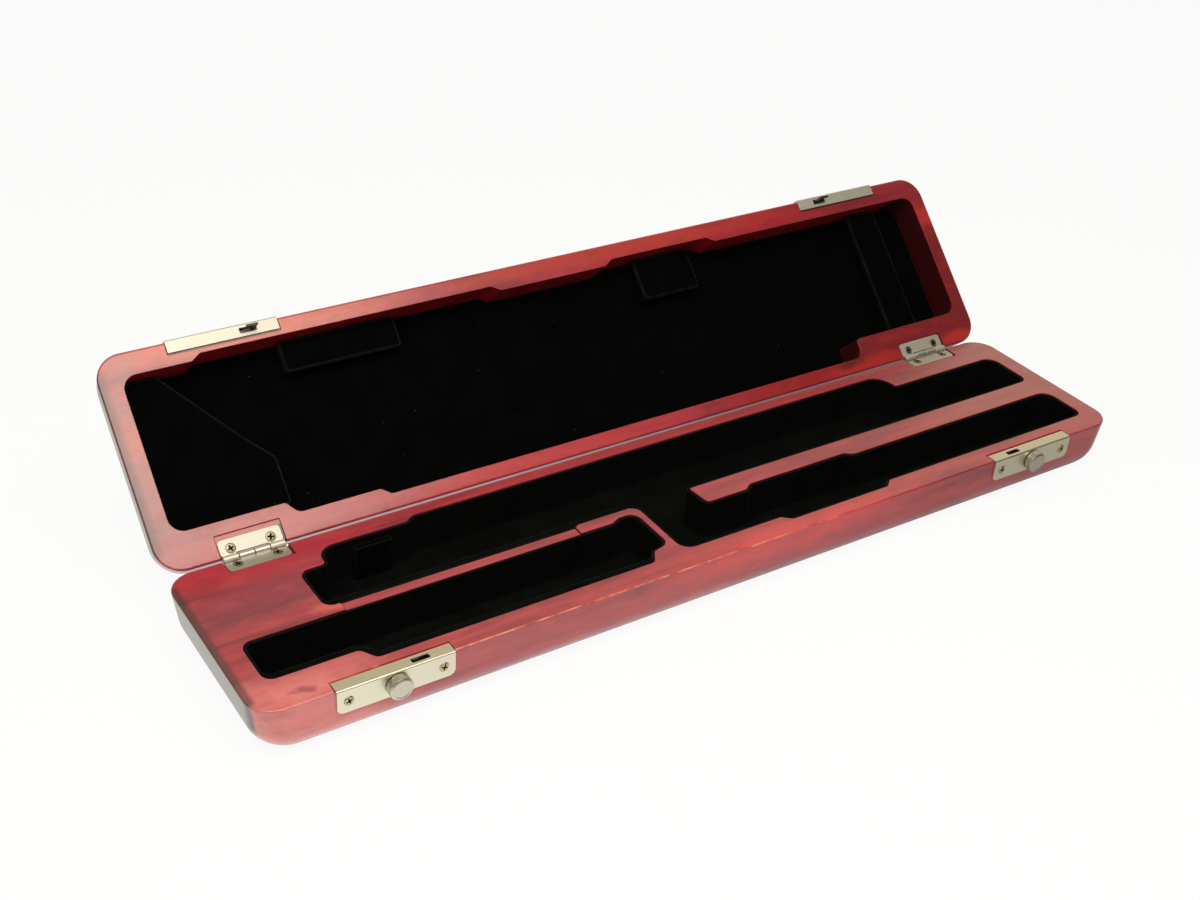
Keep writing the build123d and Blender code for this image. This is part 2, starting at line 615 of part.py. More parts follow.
# ---------------------------------------------------------------- base: velvet-covered linings
base_lining_long = lining(LONG_BAY, [LINING_SHOULDER] * 3 + [LINING_WALL] * (len(LONG_BAY) - 3))
write(base_lining_long, "base_lining_long")
base_lining_foot = lining(FOOT_BAY, [LINING_SHOULDER] * 3 + [LINING_WALL] * (len(FOOT_BAY) - 3))
write(base_lining_foot, "base_lining_foot")

with BuildPart() as key_rest_block:
    back = from_back(TENON_RAIL) - LINING_WALL
    with BuildSketch(Plane.XY.offset(BAY_FLOOR)):
        make_face(outline(rectangle_corners(
            (from_left(KEY_BLOCK_LEFT), from_left(KEY_BLOCK_LEFT + KEY_BLOCK_LENGTH)),
            (back - KEY_BLOCK_DEPTH, back),
            TIGHTEST_ROUND,
        )))
    extrude(amount=BAY_DEPTH - KEY_BLOCK_DROP)
write(key_rest_block, "key_rest_block")

with BuildPart() as lip_plate_rest:
    wall = from_front(LIP_RECESS_RAIL) + LINING_WALL
    with BuildSketch(Plane.YZ.offset(from_left(LIP_LEFT + STEP))):
        make_face(outline([
            (wall, BAY_FLOOR, 0),
            (wall + LIP_REST_WIDTH, BAY_FLOOR, 0),
            (wall + LIP_REST_CREST, RIM - LIP_REST_DROP, TIGHTEST_ROUND),
            (wall, RIM - LIP_REST_DROP, 0),
        ]))
    extrude(amount=LIP_RIGHT - LIP_LEFT - 2 * STEP)
write(lip_plate_rest, "lip_plate_rest")

# ---------------------------------------------------------------- base: hinge leaves, pins and screws
hinge_base_leaf = hinge_leaf(RIM - LEAF_SINK - LEAF_THICKNESS, BASE_HINGE_SCREWS, (1, 2))
write(hinge_base_leaf, "hinge_base_leaf_left")
write(hinge_base_leaf, "hinge_base_leaf_right", mirrored=True)

with BuildPart() as hinge_pin:
    rod(HINGE_MIDDLE - HINGE_WIDTH / 2, HINGE_WIDTH, PIN_RADIUS)
write(hinge_pin, "hinge_pin_left")
write(hinge_pin, "hinge_pin_right", mirrored=True)

hinge_base_screws = screws(BASE_HINGE_SCREWS, SCREW_HEAD_RADIUS)
write(hinge_base_screws, "hinge_base_screws")

# ---------------------------------------------------------------- base: latches
latch_blank = angle_plate(RIM, 1, LATCH_DROP, LATCH_SCREWS)
with BuildPart() as latch_plate:
    add(latch_blank)
    with BuildSketch(Plane.XZ.offset(-FRONT + SHEET)):
        with Locations((LATCH_MIDDLE - SLIDE_TRAVEL / 2, LATCH_AXIS_Z)):
            SlotOverall(
                SLIDE_TRAVEL + 2 * (KNOB_STEM_RADIUS + STEM_CLEARANCE),
                2 * (KNOB_STEM_RADIUS + STEM_CLEARANCE),
            )
    extrude(amount=-SHEET, mode=Mode.SUBTRACT)
write(latch_plate, "latch_plate_left")
write(latch_plate, "latch_plate_right", mirrored=True)

knob_plane = Plane(origin=(LATCH_MIDDLE, FRONT, LATCH_AXIS_Z), z_dir=(0, -1, 0))
with BuildPart() as latch_slide:
    slide_back = SLIDE_GAP + SLIDE_THICKNESS
    latch_box((-SLIDE_TAIL, SLIDE_END), (SLIDE_TOP, SLIDE_TOP + SLIDE_HEIGHT), (SLIDE_GAP, slide_back))
    latch_box(
        (SLIDE_END - FINGER_LENGTH, SLIDE_END),
        (SLIDE_TOP, SLIDE_TOP + FINGER_HEIGHT),
        (SLIDE_GAP, slide_back + FINGER_REACH),
    )
    latch_box(
        (-SLIDE_TAIL, TAB_THICKNESS - SLIDE_TAIL),
        (LATCH_SCREW_DROP - TAB_HEIGHT / 2, LATCH_SCREW_DROP + TAB_HEIGHT / 2),
        (SLIDE_GAP, slide_back + TAB_REACH),
    )
    plug(knob_plane.offset(-SLIDE_GAP), KNOB_RIVET_RADIUS, SLIDE_THICKNESS, Mode.SUBTRACT)
write(latch_slide, "latch_slide_left")
write(latch_slide, "latch_slide_right", mirrored=True)

with BuildPart() as latch_knob:
    plug(knob_plane.offset(SHEET + KNOB_GAP + KNOB_THICKNESS), KNOB_RADIUS, KNOB_THICKNESS)
    fillet(latch_knob.edges().sort_by(Axis.Y)[0], KNOB_EASE)
    plug(knob_plane.offset(SHEET + KNOB_GAP), KNOB_STEM_RADIUS, KNOB_GAP + SHEET + SLIDE_GAP)
    plug(knob_plane.offset(-SLIDE_GAP), KNOB_RIVET_RADIUS, SLIDE_THICKNESS)
write(latch_knob, "latch_knob_left")
write(latch_knob, "latch_knob_right", mirrored=True)

with BuildPart() as latch_spring:
    spring_start = LATCH_MIDDLE - POCKET_OUTER + SPRING_WIRE
    spring_length = POCKET_OUTER - SLIDE_TAIL - 2 * SPRING_WIRE
    with BuildLine():
        coil = Helix(
            pitch=spring_length / SPRING_TURNS,
            height=spring_length,
            radius=SPRING_RADIUS,
            center=(spring_start, FRONT + SPRING_DEPTH, LATCH_AXIS_Z),
            direction=(1, 0, 0),
        )
    with BuildSketch(Plane(origin=coil @ 0, z_dir=coil % 0)):
        Circle(SPRING_WIRE)
    sweep()
write(latch_spring, "latch_spring_left")
write(latch_spring, "latch_spring_right", mirrored=True)

latch_screws = screws(LATCH_SCREWS, LATCH_SCREW_HEAD_RADIUS)
write(latch_screws, "latch_screws")

# ---------------------------------------------------------------- lid: carved shell
lid_block = shell_block(LID_RIM, LID_RIM + LID_HEIGHT, LID_DRAFT, LID_ROUND)
with BuildPart() as lid_shell:
    add(lid_block)
    with BuildSketch(Plane.XY.offset(LID_RIM)):
        make_face(outline(LID_BAY))
    extrude(amount=LID_ROOF - LID_RIM, mode=Mode.SUBTRACT)
    mortises(LID_RIM, -1, MORTISE_LEDGE)
    rebates(LID_RIM, -1)
    base_half = HOOK_BASE_LENGTH / 2 + HOOK_BASE_CLEARANCE
    base_reach = HOOK_BASE_WIDTH / 2 + HOOK_BASE_CLEARANCE
    for hook_x in both_ends(LATCH_MIDDLE + HOOK_STEM_MIDDLE):
        box(
            (hook_x - base_half, hook_x + base_half),
            (FRONT + HOOK_MIDDLE - base_reach, FRONT + HOOK_MIDDLE + base_reach),
            (LID_RIM, LID_RIM + 2 * SHEET),
            Mode.SUBTRACT,
        )
    pilot_holes(LID_HINGE_SCREWS, SCREW_HEAD_RADIUS)
    pilot_holes(STRIKE_SCREWS, LATCH_SCREW_HEAD_RADIUS)
write(lid_shell, "lid_shell", opened=True)

with BuildPart() as lid_panel:
    with BuildSketch(Plane.XY.offset(LID_PANEL_FACE)):
        make_face(outline(inset(LID_BAY, [GLUE_LINE] * len(LID_BAY))))
    extrude(amount=PANEL_THICKNESS)
write(lid_panel, "lid_panel", opened=True)

# ---------------------------------------------------------------- lid: pads
CLEAR_FRONT = from_front(LID_LATCH_RAIL) + PAD_CLEARANCE
CROWN_PAD_LEFT = from_left(LID_END_WALL) + PAD_CLEARANCE
CROWN_PAD_FRONT = from_front(LID_FRONT_RAIL) + PAD_CLEARANCE
CROWN_PAD_BACK = from_back(LID_HINGE_RAIL_LEFT) - PAD_CLEARANCE
lid_pad_crown = pad([
    (CROWN_PAD_LEFT, CROWN_PAD_FRONT, END_ROUND),
    (from_left(LID_END_WALL + CROWN_PAD_FRONT_LENGTH), CROWN_PAD_FRONT, STEP_ROUND),
    (from_left(LID_END_WALL + CROWN_PAD_KNEE_LENGTH), from_front(CROWN_PAD_KNEE), BAY_ROUND),
    (from_left(LID_END_WALL + CROWN_PAD_BACK_LENGTH), from_front(CROWN_PAD_NOSE), BAY_ROUND),
    (from_left(LID_END_WALL + CROWN_PAD_BACK_LENGTH), CROWN_PAD_BACK, STEP_ROUND),
    (CROWN_PAD_LEFT, CROWN_PAD_BACK, END_ROUND),
])
write(lid_pad_crown, "lid_pad_crown", opened=True)

lid_pad_foot = pad(rectangle_corners(
    (from_left(FOOT_PAD_LEFT), from_left(FOOT_PAD_LEFT + FOOT_PAD_LENGTH)),
    (CLEAR_FRONT, from_front(FOOT_PAD_REACH)),
    STEP_ROUND,
))
write(lid_pad_foot, "lid_pad_foot", opened=True)

lid_pad_lip = pad(rectangle_corners(
    (from_left(LIP_PAD_LEFT), from_left(LIP_PAD_LEFT + LIP_PAD_LENGTH)),
    (CLEAR_FRONT, from_front(LIP_PAD_REACH)),
    STEP_ROUND,
))
write(lid_pad_lip, "lid_pad_lip", opened=True)

lid_pad_socket = pad(rectangle_corners(
    (from_right(SOCKET_PAD_FROM_RIGHT + SOCKET_PAD_LENGTH), from_right(SOCKET_PAD_FROM_RIGHT)),
    (from_front(LID_FRONT_RAIL) + PAD_CLEARANCE, from_back(LID_HINGE_RAIL_RIGHT) - PAD_CLEARANCE),
    STEP_ROUND,
))
write(lid_pad_socket, "lid_pad_socket", opened=True)

# ---------------------------------------------------------------- lid: hinge leaves and screws
hinge_lid_leaf = hinge_leaf(LID_RIM + LEAF_SINK, LID_HINGE_SCREWS, (0, 3))
write(hinge_lid_leaf, "hinge_lid_leaf_left", opened=True)
write(hinge_lid_leaf, "hinge_lid_leaf_right", mirrored=True, opened=True)
hinge_lid_screws = screws(LID_HINGE_SCREWS, SCREW_HEAD_RADIUS)
write(hinge_lid_screws, "hinge_lid_screws", opened=True)

# ---------------------------------------------------------------- lid: strike plates, hooks and screws
strike_blank = angle_plate(LID_RIM, -1, STRIKE_RISE, STRIKE_SCREWS)
with BuildPart() as strike_plate:
    add(strike_blank)
write(strike_plate, "strike_plate_left", opened=True)
write(strike_plate, "strike_plate_right", mirrored=True, opened=True)

with BuildPart() as strike_hook:
    hook_bottom = HOOK_FOOT_TOP + HOOK_FOOT_HEIGHT
    hook_v = (HOOK_FRONT, HOOK_FRONT + HOOK_THICKNESS)
    above = -RIM_GAP - SHEET
    latch_box((HOOK_STEM, HOOK_STEM + HOOK_STEM_WIDTH), (above, hook_bottom), hook_v)
    latch_box((HOOK_STEM - HOOK_FOOT_LENGTH, HOOK_STEM), (HOOK_FOOT_TOP, hook_bottom), hook_v)
    latch_box(
        (HOOK_STEM_MIDDLE - HOOK_BASE_LENGTH / 2, HOOK_STEM_MIDDLE + HOOK_BASE_LENGTH / 2),
        (above - SHEET, above),
        (HOOK_MIDDLE - HOOK_BASE_WIDTH / 2, HOOK_MIDDLE + HOOK_BASE_WIDTH / 2),
    )
write(strike_hook, "strike_hook_left", opened=True)
write(strike_hook, "strike_hook_right", mirrored=True, opened=True)

strike_screws = screws(STRIKE_SCREWS, LATCH_SCREW_HEAD_RADIUS)
write(strike_screws, "strike_screws", opened=True)
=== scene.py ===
import json
import logging
import math
from dataclasses import dataclass
from enum import Enum
from typing import Iterable, NamedTuple, Sequence

import bmesh
import bpy
from mathutils import Matrix, Vector


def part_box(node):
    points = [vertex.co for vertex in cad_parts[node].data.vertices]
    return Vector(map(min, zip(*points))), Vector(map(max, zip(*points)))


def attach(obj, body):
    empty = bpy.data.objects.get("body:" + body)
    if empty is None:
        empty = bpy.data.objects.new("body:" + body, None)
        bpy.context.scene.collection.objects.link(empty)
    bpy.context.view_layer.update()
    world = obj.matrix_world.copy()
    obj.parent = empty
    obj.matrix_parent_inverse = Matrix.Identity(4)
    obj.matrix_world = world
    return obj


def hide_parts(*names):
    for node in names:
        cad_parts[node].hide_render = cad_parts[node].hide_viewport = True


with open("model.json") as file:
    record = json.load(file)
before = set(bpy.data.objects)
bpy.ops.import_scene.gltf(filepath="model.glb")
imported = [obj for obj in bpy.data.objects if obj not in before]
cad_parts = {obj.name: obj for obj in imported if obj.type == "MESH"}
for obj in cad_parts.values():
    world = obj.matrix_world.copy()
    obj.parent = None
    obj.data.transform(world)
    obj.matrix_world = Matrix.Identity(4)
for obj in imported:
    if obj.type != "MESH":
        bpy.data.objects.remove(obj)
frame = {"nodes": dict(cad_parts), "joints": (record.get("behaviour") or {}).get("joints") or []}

# Looks of a hardwood flute case: two carved and lacquered shells, velvet linings and pads,
# nickel-plated hinges and slide latches.  Every piece is drawn in millimetres with the lid
# shut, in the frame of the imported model, and lid pieces are then swung open about the hinge.

Span = tuple[float, float]
Point = tuple[float, float, float]
Socket = bpy.types.NodeSocket

LOG = logging.getLogger("flute_case")
MM = 0.001                       # metres in a millimetre
BENCH = "bench"                  # mesh attribute: a point's place in mm with the lid shut
FOLD = "fold"                    # mesh attribute: how sharply cloth is folded at a point
ALONG = Vector((1, 0, 0))        # along the case
INWARD = Vector((0, 1, 0))       # from the front face into the case
UPWARD = Vector((0, 0, 1))

# ---------------------------------------------------------------- sizes read from the frame
SHELL_LOW, SHELL_HIGH = (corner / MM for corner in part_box("base_shell"))
HINGE = next(joint for joint in frame["joints"] if joint["name"] == "lid_hinge")
HINGE_AXIS = Vector(HINGE["pos_m"]) / MM
OPEN_ANGLE = math.radians(HINGE["range_deg"][1])
CASE_LENGTH = 420.0
LEFT = -CASE_LENGTH / 2
RIGHT = CASE_LENGTH / 2
FRONT = SHELL_LOW.y
BACK = SHELL_HIGH.y
RIM = SHELL_HIGH.z
RIM_GAP = 2 * (HINGE_AXIS.z - RIM)
LID_RIM = RIM + RIM_GAP


def from_left(x: float) -> float:
    """Frame X of a distance from the left end."""
    return LEFT + x


def from_right(x: float) -> float:
    """Frame X of a distance from the right end."""
    return RIGHT - x


def from_front(y: float) -> float:
    """Frame Y of a distance from the front edge."""
    return FRONT + y


def from_back(y: float) -> float:
    """Frame Y of a distance from the back edge."""
    return BACK - y


# Sizes that the wood shares with the metal let into it, for the left end.
PLATE_MIDDLE = from_left(52.6)
PLATE_LENGTH = 46.4
FLANGE = 4.5                     # front face to the inner edge of a front plate's flange
SHEET = 0.8                      # thickness of the front plates
SCREW_DROP = 5.4                 # rim to the front plates' screws and the knobs
HINGE_MIDDLE = from_left(36.6)
LEAF_WIDTH = 25.4
LEAF_REACH = 7.4                 # back face to a hinge leaf's inner edge


class Body(Enum):
    """The moving bodies of the case."""

    BASE = "base"
    LID = "lid"
    SLIDE_LEFT = "slide_left"
    SLIDE_RIGHT = "slide_right"


class Slot(Enum):
    """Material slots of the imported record."""

    BASE_WOOD = "base_wood"
    SLAT_WOOD = "slat_wood"
    LID_WOOD = "lid_wood"
    VELVET = "velvet"
    NICKEL = "nickel_plate"
    STEEL = "steel"


class Side(Enum):
    """The two ends of the case; the value turns a left-hand X into that end's X."""

    LEFT = 1
    RIGHT = -1

    def mirrored(self, x: float) -> float:
        """A left-hand X carried to this end."""
        return self.value * x

    def span(self, xs: Iterable[float]) -> Span:
        """Two left-hand Xs carried to this end, the lower one first."""
        low, high = sorted(self.mirrored(x) for x in xs)
        return low, high


# ---------------------------------------------------------------- outlines
TIGHTEST_ROUND = 0.3             # mm; no inset outline is rounded by less


def quarter(steps: int) -> list[float]:
    """The angles of a quarter turn in equal steps, both ends included."""
    return [math.pi / 2 * i / steps for i in range(steps + 1)]


class Corner(NamedTuple):
    """One corner of an outline: its place and the radius that rounds it."""

    x: float
    y: float
    radius: float


@dataclass(frozen=True)
class Outline:
    """A closed outline of straight runs joined by rounds, counter-clockwise from above."""

    corners: tuple[Corner, ...]
    segments: int = 8

    def points(self) -> list[Vector]:
        """Points along the outline, the same number for each corner."""
        places = []
        for i, corner in enumerate(self.corners):
            here = Vector((corner.x, corner.y))
            back = (Vector(self.corners[i - 1][:2]) - here).normalized()
            ahead = (Vector(self.corners[(i + 1) % len(self.corners)][:2]) - here).normalized()
            half = math.acos(max(-1.0, min(1.0, back.dot(ahead)))) / 2
            centre = here + (back + ahead).normalized() * (corner.radius / math.sin(half))
            start = here + back * (corner.radius / math.tan(half)) - centre
            sweep = math.pi - 2 * half
            if back.x * ahead.y - back.y * ahead.x > 0:
                sweep = -sweep
            for step in range(self.segments + 1):
                places.append(centre + Matrix.Rotation(sweep * step / self.segments, 2) @ start)
        return places

    def ring(self, z: float) -> list[Vector]:
        """The outline's points at one height."""
        return [Vector((p.x, p.y, z)) for p in self.points()]

    def inset(self, walls: Sequence[float]) -> "Outline":
        """Move each edge inwards by its own wall.

        Args:
            walls: a distance for the edge that follows each corner.

        Returns:
            The moved outline, with rounds grown or shrunk to match.
        """
        moved = []
        count = len(self.corners)
        for i, corner in enumerate(self.corners):
            here = Vector((corner.x, corner.y))
            incoming = (here - Vector(self.corners[i - 1][:2])).normalized()
            outgoing = (Vector(self.corners[(i + 1) % count][:2]) - here).normalized()
            before = here + Vector((-incoming.y, incoming.x)) * walls[i - 1]
            after = here + Vector((-outgoing.y, outgoing.x)) * walls[i]
            turn = incoming.x * outgoing.y - incoming.y * outgoing.x
            gap = after - before
            place = before + incoming * ((gap.x * outgoing.y - gap.y * outgoing.x) / turn)
            change = math.copysign(min(walls[i - 1], walls[i]), turn)
            radius = max(corner.radius - change, TIGHTEST_ROUND)
            moved.append(Corner(place.x, place.y, radius))
        return Outline(tuple(moved), self.segments)

    def evenly_inset(self, wall: float) -> "Outline":
        """The outline moved inwards by one distance all round."""
        return self.inset([wall] * len(self.corners))


def outline(*corners: Point) -> Outline:
    """An outline through corners given as X, Y and round."""
    return Outline(tuple(Corner(*corner) for corner in corners))


def rectangle(x_span: Span, y_span: Span, radius: float) -> Outline:
    """A rectangle with equal rounds.

    Args:
        x_span: lowest and highest X.
        y_span: lowest and highest Y.
        radius: the round at each corner.

    Returns:
        The outline.
    """
    (x0, x1), (y0, y1) = x_span, y_span
    return outline((x0, y0, radius), (x1, y0, radius), (x1, y1, radius), (x0, y1, radius))


@dataclass(frozen=True)
class BayPlan:
    """Plan of the carved bays, as distances in mm from the case's edges."""

    front_rail: float = 10.8
    lip_recess_rail: float = 7.4
    foot_rail: float = 9.7
    foot_neck_rail: float = 16.3
    divider_front: float = 39.6
    slat_back: float = 44.2
    divider_back: float = 45.4
    tongue_front: float = 33.8
    tongue_back: float = 45.8
    head_back: float = 34.1
    lip_recess_back: float = 36.6
    body_rail: float = 5.7
    tenon_rail: float = 8.5
    crown_rail: float = 19.2
    socket_rail: float = 17.1
    foot_left: float = 10.5
    foot_neck: float = 35.7
    foot_right: float = 181.4
    body_left: float = 46.0
    tenon_left: float = 57.5
    keywork_left: float = 97.2
    slat_left: float = 52.0
    slat_right: float = 154.4
    head_left: float = 184.3
    tongue_tip: float = 211.6
    lip_left: float = 234.7
    lip_right: float = 290.1
    end_wall: float = 8.9
    keywork_right: float = 72.5
    step: float = 4.0                # run of the slanted steps between two widths
    end_round: float = 6.0
    bay_round: float = 4.5
    keywork_round: float = 8.0
    foot_round: float = 3.0
    step_round: float = 2.0
    crisp_round: float = 0.9

    def long_bay(self) -> Outline:
        """The bay of the body joint and, through its throat, of the headjoint."""
        half = self.step / 2
        bay, end, keys = self.bay_round, self.end_round, self.keywork_round
        soft, crisp = self.step_round, self.crisp_round
        body, tenon, slat, head, tip = map(from_left, (
            self.body_left, self.tenon_left, self.slat_right, self.head_left, self.tongue_tip))
        lip_a, lip_b, lip_c, lip_d = (from_left(edge + shift) for edge in (
            self.lip_left, self.lip_right) for shift in (-half, half))
        wall = from_right(self.end_wall)
        slat_y, divider, front, recess = map(from_front, (
            self.slat_back, self.divider_back, self.front_rail, self.lip_recess_rail))
        head_y, recess_y, tongue, tongue_y = map(from_front, (
            self.head_back, self.lip_recess_back, self.tongue_front, self.tongue_back))
        socket, back, tenon_y, crown = map(from_back, (
            self.socket_rail, self.body_rail, self.tenon_rail, self.crown_rail))
        return outline(
            (body, slat_y, bay), (slat, slat_y, crisp),
            (from_left(self.slat_right + half), divider, crisp), (head, divider, bay),
            (head, front, end), (lip_a, front, soft), (lip_b, recess, soft),
            (lip_c, recess, soft), (lip_d, front, soft), (wall, front, bay),
            (wall, head_y, end), (lip_d, head_y, soft), (lip_c, recess_y, soft),
            (lip_b, recess_y, soft), (lip_a, tongue, soft),
            (from_left(self.tongue_tip + half / 2), tongue, soft), (tip, tongue_y, crisp),
            (wall, tongue_y, bay), (wall, socket, end),
            (from_right(self.keywork_right - half), socket, crisp),
            (from_right(self.keywork_right), back, keys),
            (from_left(self.keywork_left + self.step), back, soft),
            (from_left(self.keywork_left), tenon_y, soft),
            (tenon, tenon_y, keys), (tenon, crown, soft), (body, crown, bay))

    def foot_bay(self) -> Outline:
        """The bay of the foot joint."""
        step, bay, foot, soft = self.step, self.bay_round, self.foot_round, self.step_round
        left, neck, neck_end, flat_end, slant_end, right = map(from_left, (
            self.foot_left, self.foot_left + self.foot_neck,
            self.foot_left + self.foot_neck + step, self.foot_right - 3 * step,
            self.foot_right - 2 * step, self.foot_right))
        neck_y, rail, slant, shoulder, divider, notch = map(from_front, (
            self.foot_neck_rail, self.foot_rail, self.foot_rail + 1.5 * step,
            self.foot_rail + 2 * step, self.divider_front, self.divider_front + step / 2))
        return outline(
            (left, neck_y, bay), (neck, neck_y, foot), (neck_end, rail, foot),
            (flat_end, rail, foot), (slant_end, slant, soft), (right, shoulder, bay),
            (right, notch, bay), (slant_end, notch, soft),
            (flat_end, divider, self.crisp_round), (left, divider, bay))


@dataclass(frozen=True)
class LidBayPlan:
    """Plan of the lid's hollow, as distances in mm from the lid's edges."""

    end_wall_left: float = 9.1
    end_wall_right: float = 7.9
    front_rail: float = 9.8
    keys_rail: float = 7.2
    hinge_rail_left: float = 14.8
    hinge_rail_right: float = 15.7
    tenon_rail: float = 9.7
    back_rail: float = 6.6
    foot_keys: Span = (37.5, 176.0)
    lip_keys: Span = (230.0, 290.5)
    tenon_left: float = 58.7
    keywork_left: float = 98.0
    keywork_right: float = 72.5
    step: float = 4.0
    end_round: float = 6.0
    bay_round: float = 4.5
    step_round: float = 2.0

    def bay(self) -> Outline:
        """The lid's one bay."""
        step, end, soft = self.step, self.end_round, self.step_round
        left, tenon, tenon_end, keys_end, keys = map(from_left, (
            self.end_wall_left, self.tenon_left - step, self.tenon_left,
            self.keywork_left - step, self.keywork_left))
        right, keys_right = from_right(self.end_wall_right), from_right(self.keywork_right)
        front, recess = from_front(self.front_rail), from_front(self.keys_rail)
        hinge_left, hinge_right, tenon_y, back = map(from_back, (
            self.hinge_rail_left, self.hinge_rail_right, self.tenon_rail, self.back_rail))
        recesses = []
        for low, high in (self.foot_keys, self.lip_keys):
            recesses += [
                (from_left(low), front, soft), (from_left(low + step), recess, soft),
                (from_left(high - step), recess, soft), (from_left(high), front, soft)]
        return outline(
            (left, front, end), *recesses, (right, front, end), (right, hinge_right, end),
            (keys_right, hinge_right, soft), (keys_right, back, self.bay_round),
            (keys, back, soft), (keys_end, tenon_y, soft), (tenon_end, tenon_y, self.bay_round),
            (tenon, hinge_left, soft), (left, hinge_left, end))


# ---------------------------------------------------------------- shader graphs
def linear(hex_colour: str) -> tuple[float, float, float, float]:
    """Turn an sRGB hex colour into linear RGBA.

    Args:
        hex_colour: a # and six hex digits.

    Returns:
        Linear red, green and blue, and an alpha of 1.
    """
    channels = [int(hex_colour[i:i + 2], 16) / 255 for i in (1, 3, 5)]
    bent = [c / 12.92 if c <= 0.04045 else ((c + 0.055) / 1.055) ** 2.4 for c in channels]
    return (*bent, 1.0)


@dataclass(frozen=True)
class Shade:
    """A box in bench mm where shade is painted into a surface's colour: in the bays and gaps, in
    the screws' recesses and on the left ends.
    """

    x_span: Span
    y_span: Span
    z_span: Span
    colour: str = "#46060d"
    softness: float = 0.12


class Graph:
    """The node tree of a material or of the world, from empty to finished."""

    def __init__(self, tree: bpy.types.NodeTree) -> None:
        """Start from an emptied tree."""
        self.tree = tree
        tree.nodes.clear()

    def add(self, kind: str, *values: object, named: dict | None = None, out: int | str = 0,
            **settings: object) -> Socket | None:
        """Add one shader node with its settings, values and links.

        Args:
            kind: the node's type name, without ShaderNode in front.
            *values: a value, or the output socket that feeds it, for each of the first inputs.
            named: the same for other inputs, by socket name or number.
            out: name or number of the wanted output.
            **settings: properties of the node.

        Returns:
            That output of the new node, or None if the node has no outputs.
        """
        made = self.tree.nodes.new("ShaderNode" + kind)
        for name, value in settings.items():
            setattr(made, name, value)
        for name, value in {**dict(enumerate(values)), **(named or {})}.items():
            if isinstance(value, Socket):
                self.tree.links.new(value, made.inputs[name])
            else:
                made.inputs[name].default_value = value
        return made.outputs[out] if made.outputs else None

    def drawn_noise(self, place: Socket, sizes: Point, detail: float, distortion: float = 0.0,
                    shift: Point = (0.0, 0.0, 0.0)) -> Socket:
        """Noise whose features have their own size along each axis.

        Args:
            place: the coordinates.
            sizes: size of a feature along X, Y and Z, in the unit of the place.
            detail: octaves of the noise.
            distortion: how much the noise wanders.
            shift: where in the noise the origin lies.

        Returns:
            The noise's factor, about 0.2 to 0.8.
        """
        scale = tuple(1 / size for size in sizes)
        stretched = self.add("Mapping", place, named={"Scale": scale, "Location": shift})
        values = {"Scale": 1.0, "Detail": detail, "Distortion": distortion}
        return self.add("TexNoise", stretched, named=values)

    def shaded(self, colour: Socket, boxes: Iterable[Shade]) -> Socket:
        """Darken a colour inside each shade box."""
        bench = self.add("Attribute", out="Vector", attribute_name=BENCH)
        axes = self.add("SeparateXYZ", bench).node.outputs
        for box in boxes:
            cover, soft = 1.0, box.softness
            for axis, ends in zip(axes, (box.x_span, box.y_span, box.z_span)):
                for end, change in zip(ends, ((0.0, 1.0), (1.0, 0.0))):
                    inside = self.add("MapRange", axis, end - soft, end + soft, *change)
                    cover = self.add("Math", inside, cover, operation="MULTIPLY")
            colour = self.add("Mix", named={0: cover, 6: colour, 7: linear(box.colour)},
                              out=2, data_type="RGBA")
        return colour

    def surface(self, inputs: dict[str, object]) -> None:
        """End a material with one Principled surface."""
        self.add("OutputMaterial", self.add("BsdfPrincipled", named=inputs))


def stops_laid(ramp: Socket, stops: Sequence[tuple[float, str]]) -> Socket:
    """Lay stops on a colour ramp.

    Args:
        ramp: the ramp's colour output.
        stops: positions and sRGB hex colours.

    Returns:
        The same output.
    """
    elements = ramp.node.color_ramp.elements
    elements[0].position, elements[0].color = stops[0][0], linear(stops[0][1])
    elements[1].position, elements[1].color = stops[-1][0], linear(stops[-1][1])
    for position, colour in stops[1:-1]:
        elements.new(position).color = linear(colour)
    return ramp


def blank_material(name: str) -> tuple[bpy.types.Material, Graph]:
    """Make an empty node material.

    Args:
        name: the material's name.

    Returns:
        The material and its graph.
    """
    material = bpy.data.materials.new(name)
    material.use_nodes = True
    return material, Graph(material.node_tree)


# ---------------------------------------------------------------- finishes
@dataclass(frozen=True)
class StainAndLightPatch:
    """A patch of colour on the wood, mostly where the stain took another way, in a few places
    painted light; places and reaches are in bench mm.
    """

    colour: str
    place: Point
    reach: Point
    strength: float


@dataclass(frozen=True)
class WornArris:
    """A long edge where handling has rubbed the stain through to orange wood."""

    x_span: Span
    outside_y: float                 # the edge lies outside this Y
    above_z: float                   # and above this Z
    softness: float = 0.12
    colour: str = "#e8866c"
    run_length: float = 9.0          # mm of rubbed edge between stained stretches
    run_noise: Span = (0.40, 0.58)   # noise that counts as stained and as rubbed
    rubbed: Span = (0.1, 0.9)        # share of orange in stained and in rubbed stretches
    fade_in: float = 12.0            # mm to the full wear at its left end
    fade_out: float = 48.0           # and from it at its right end


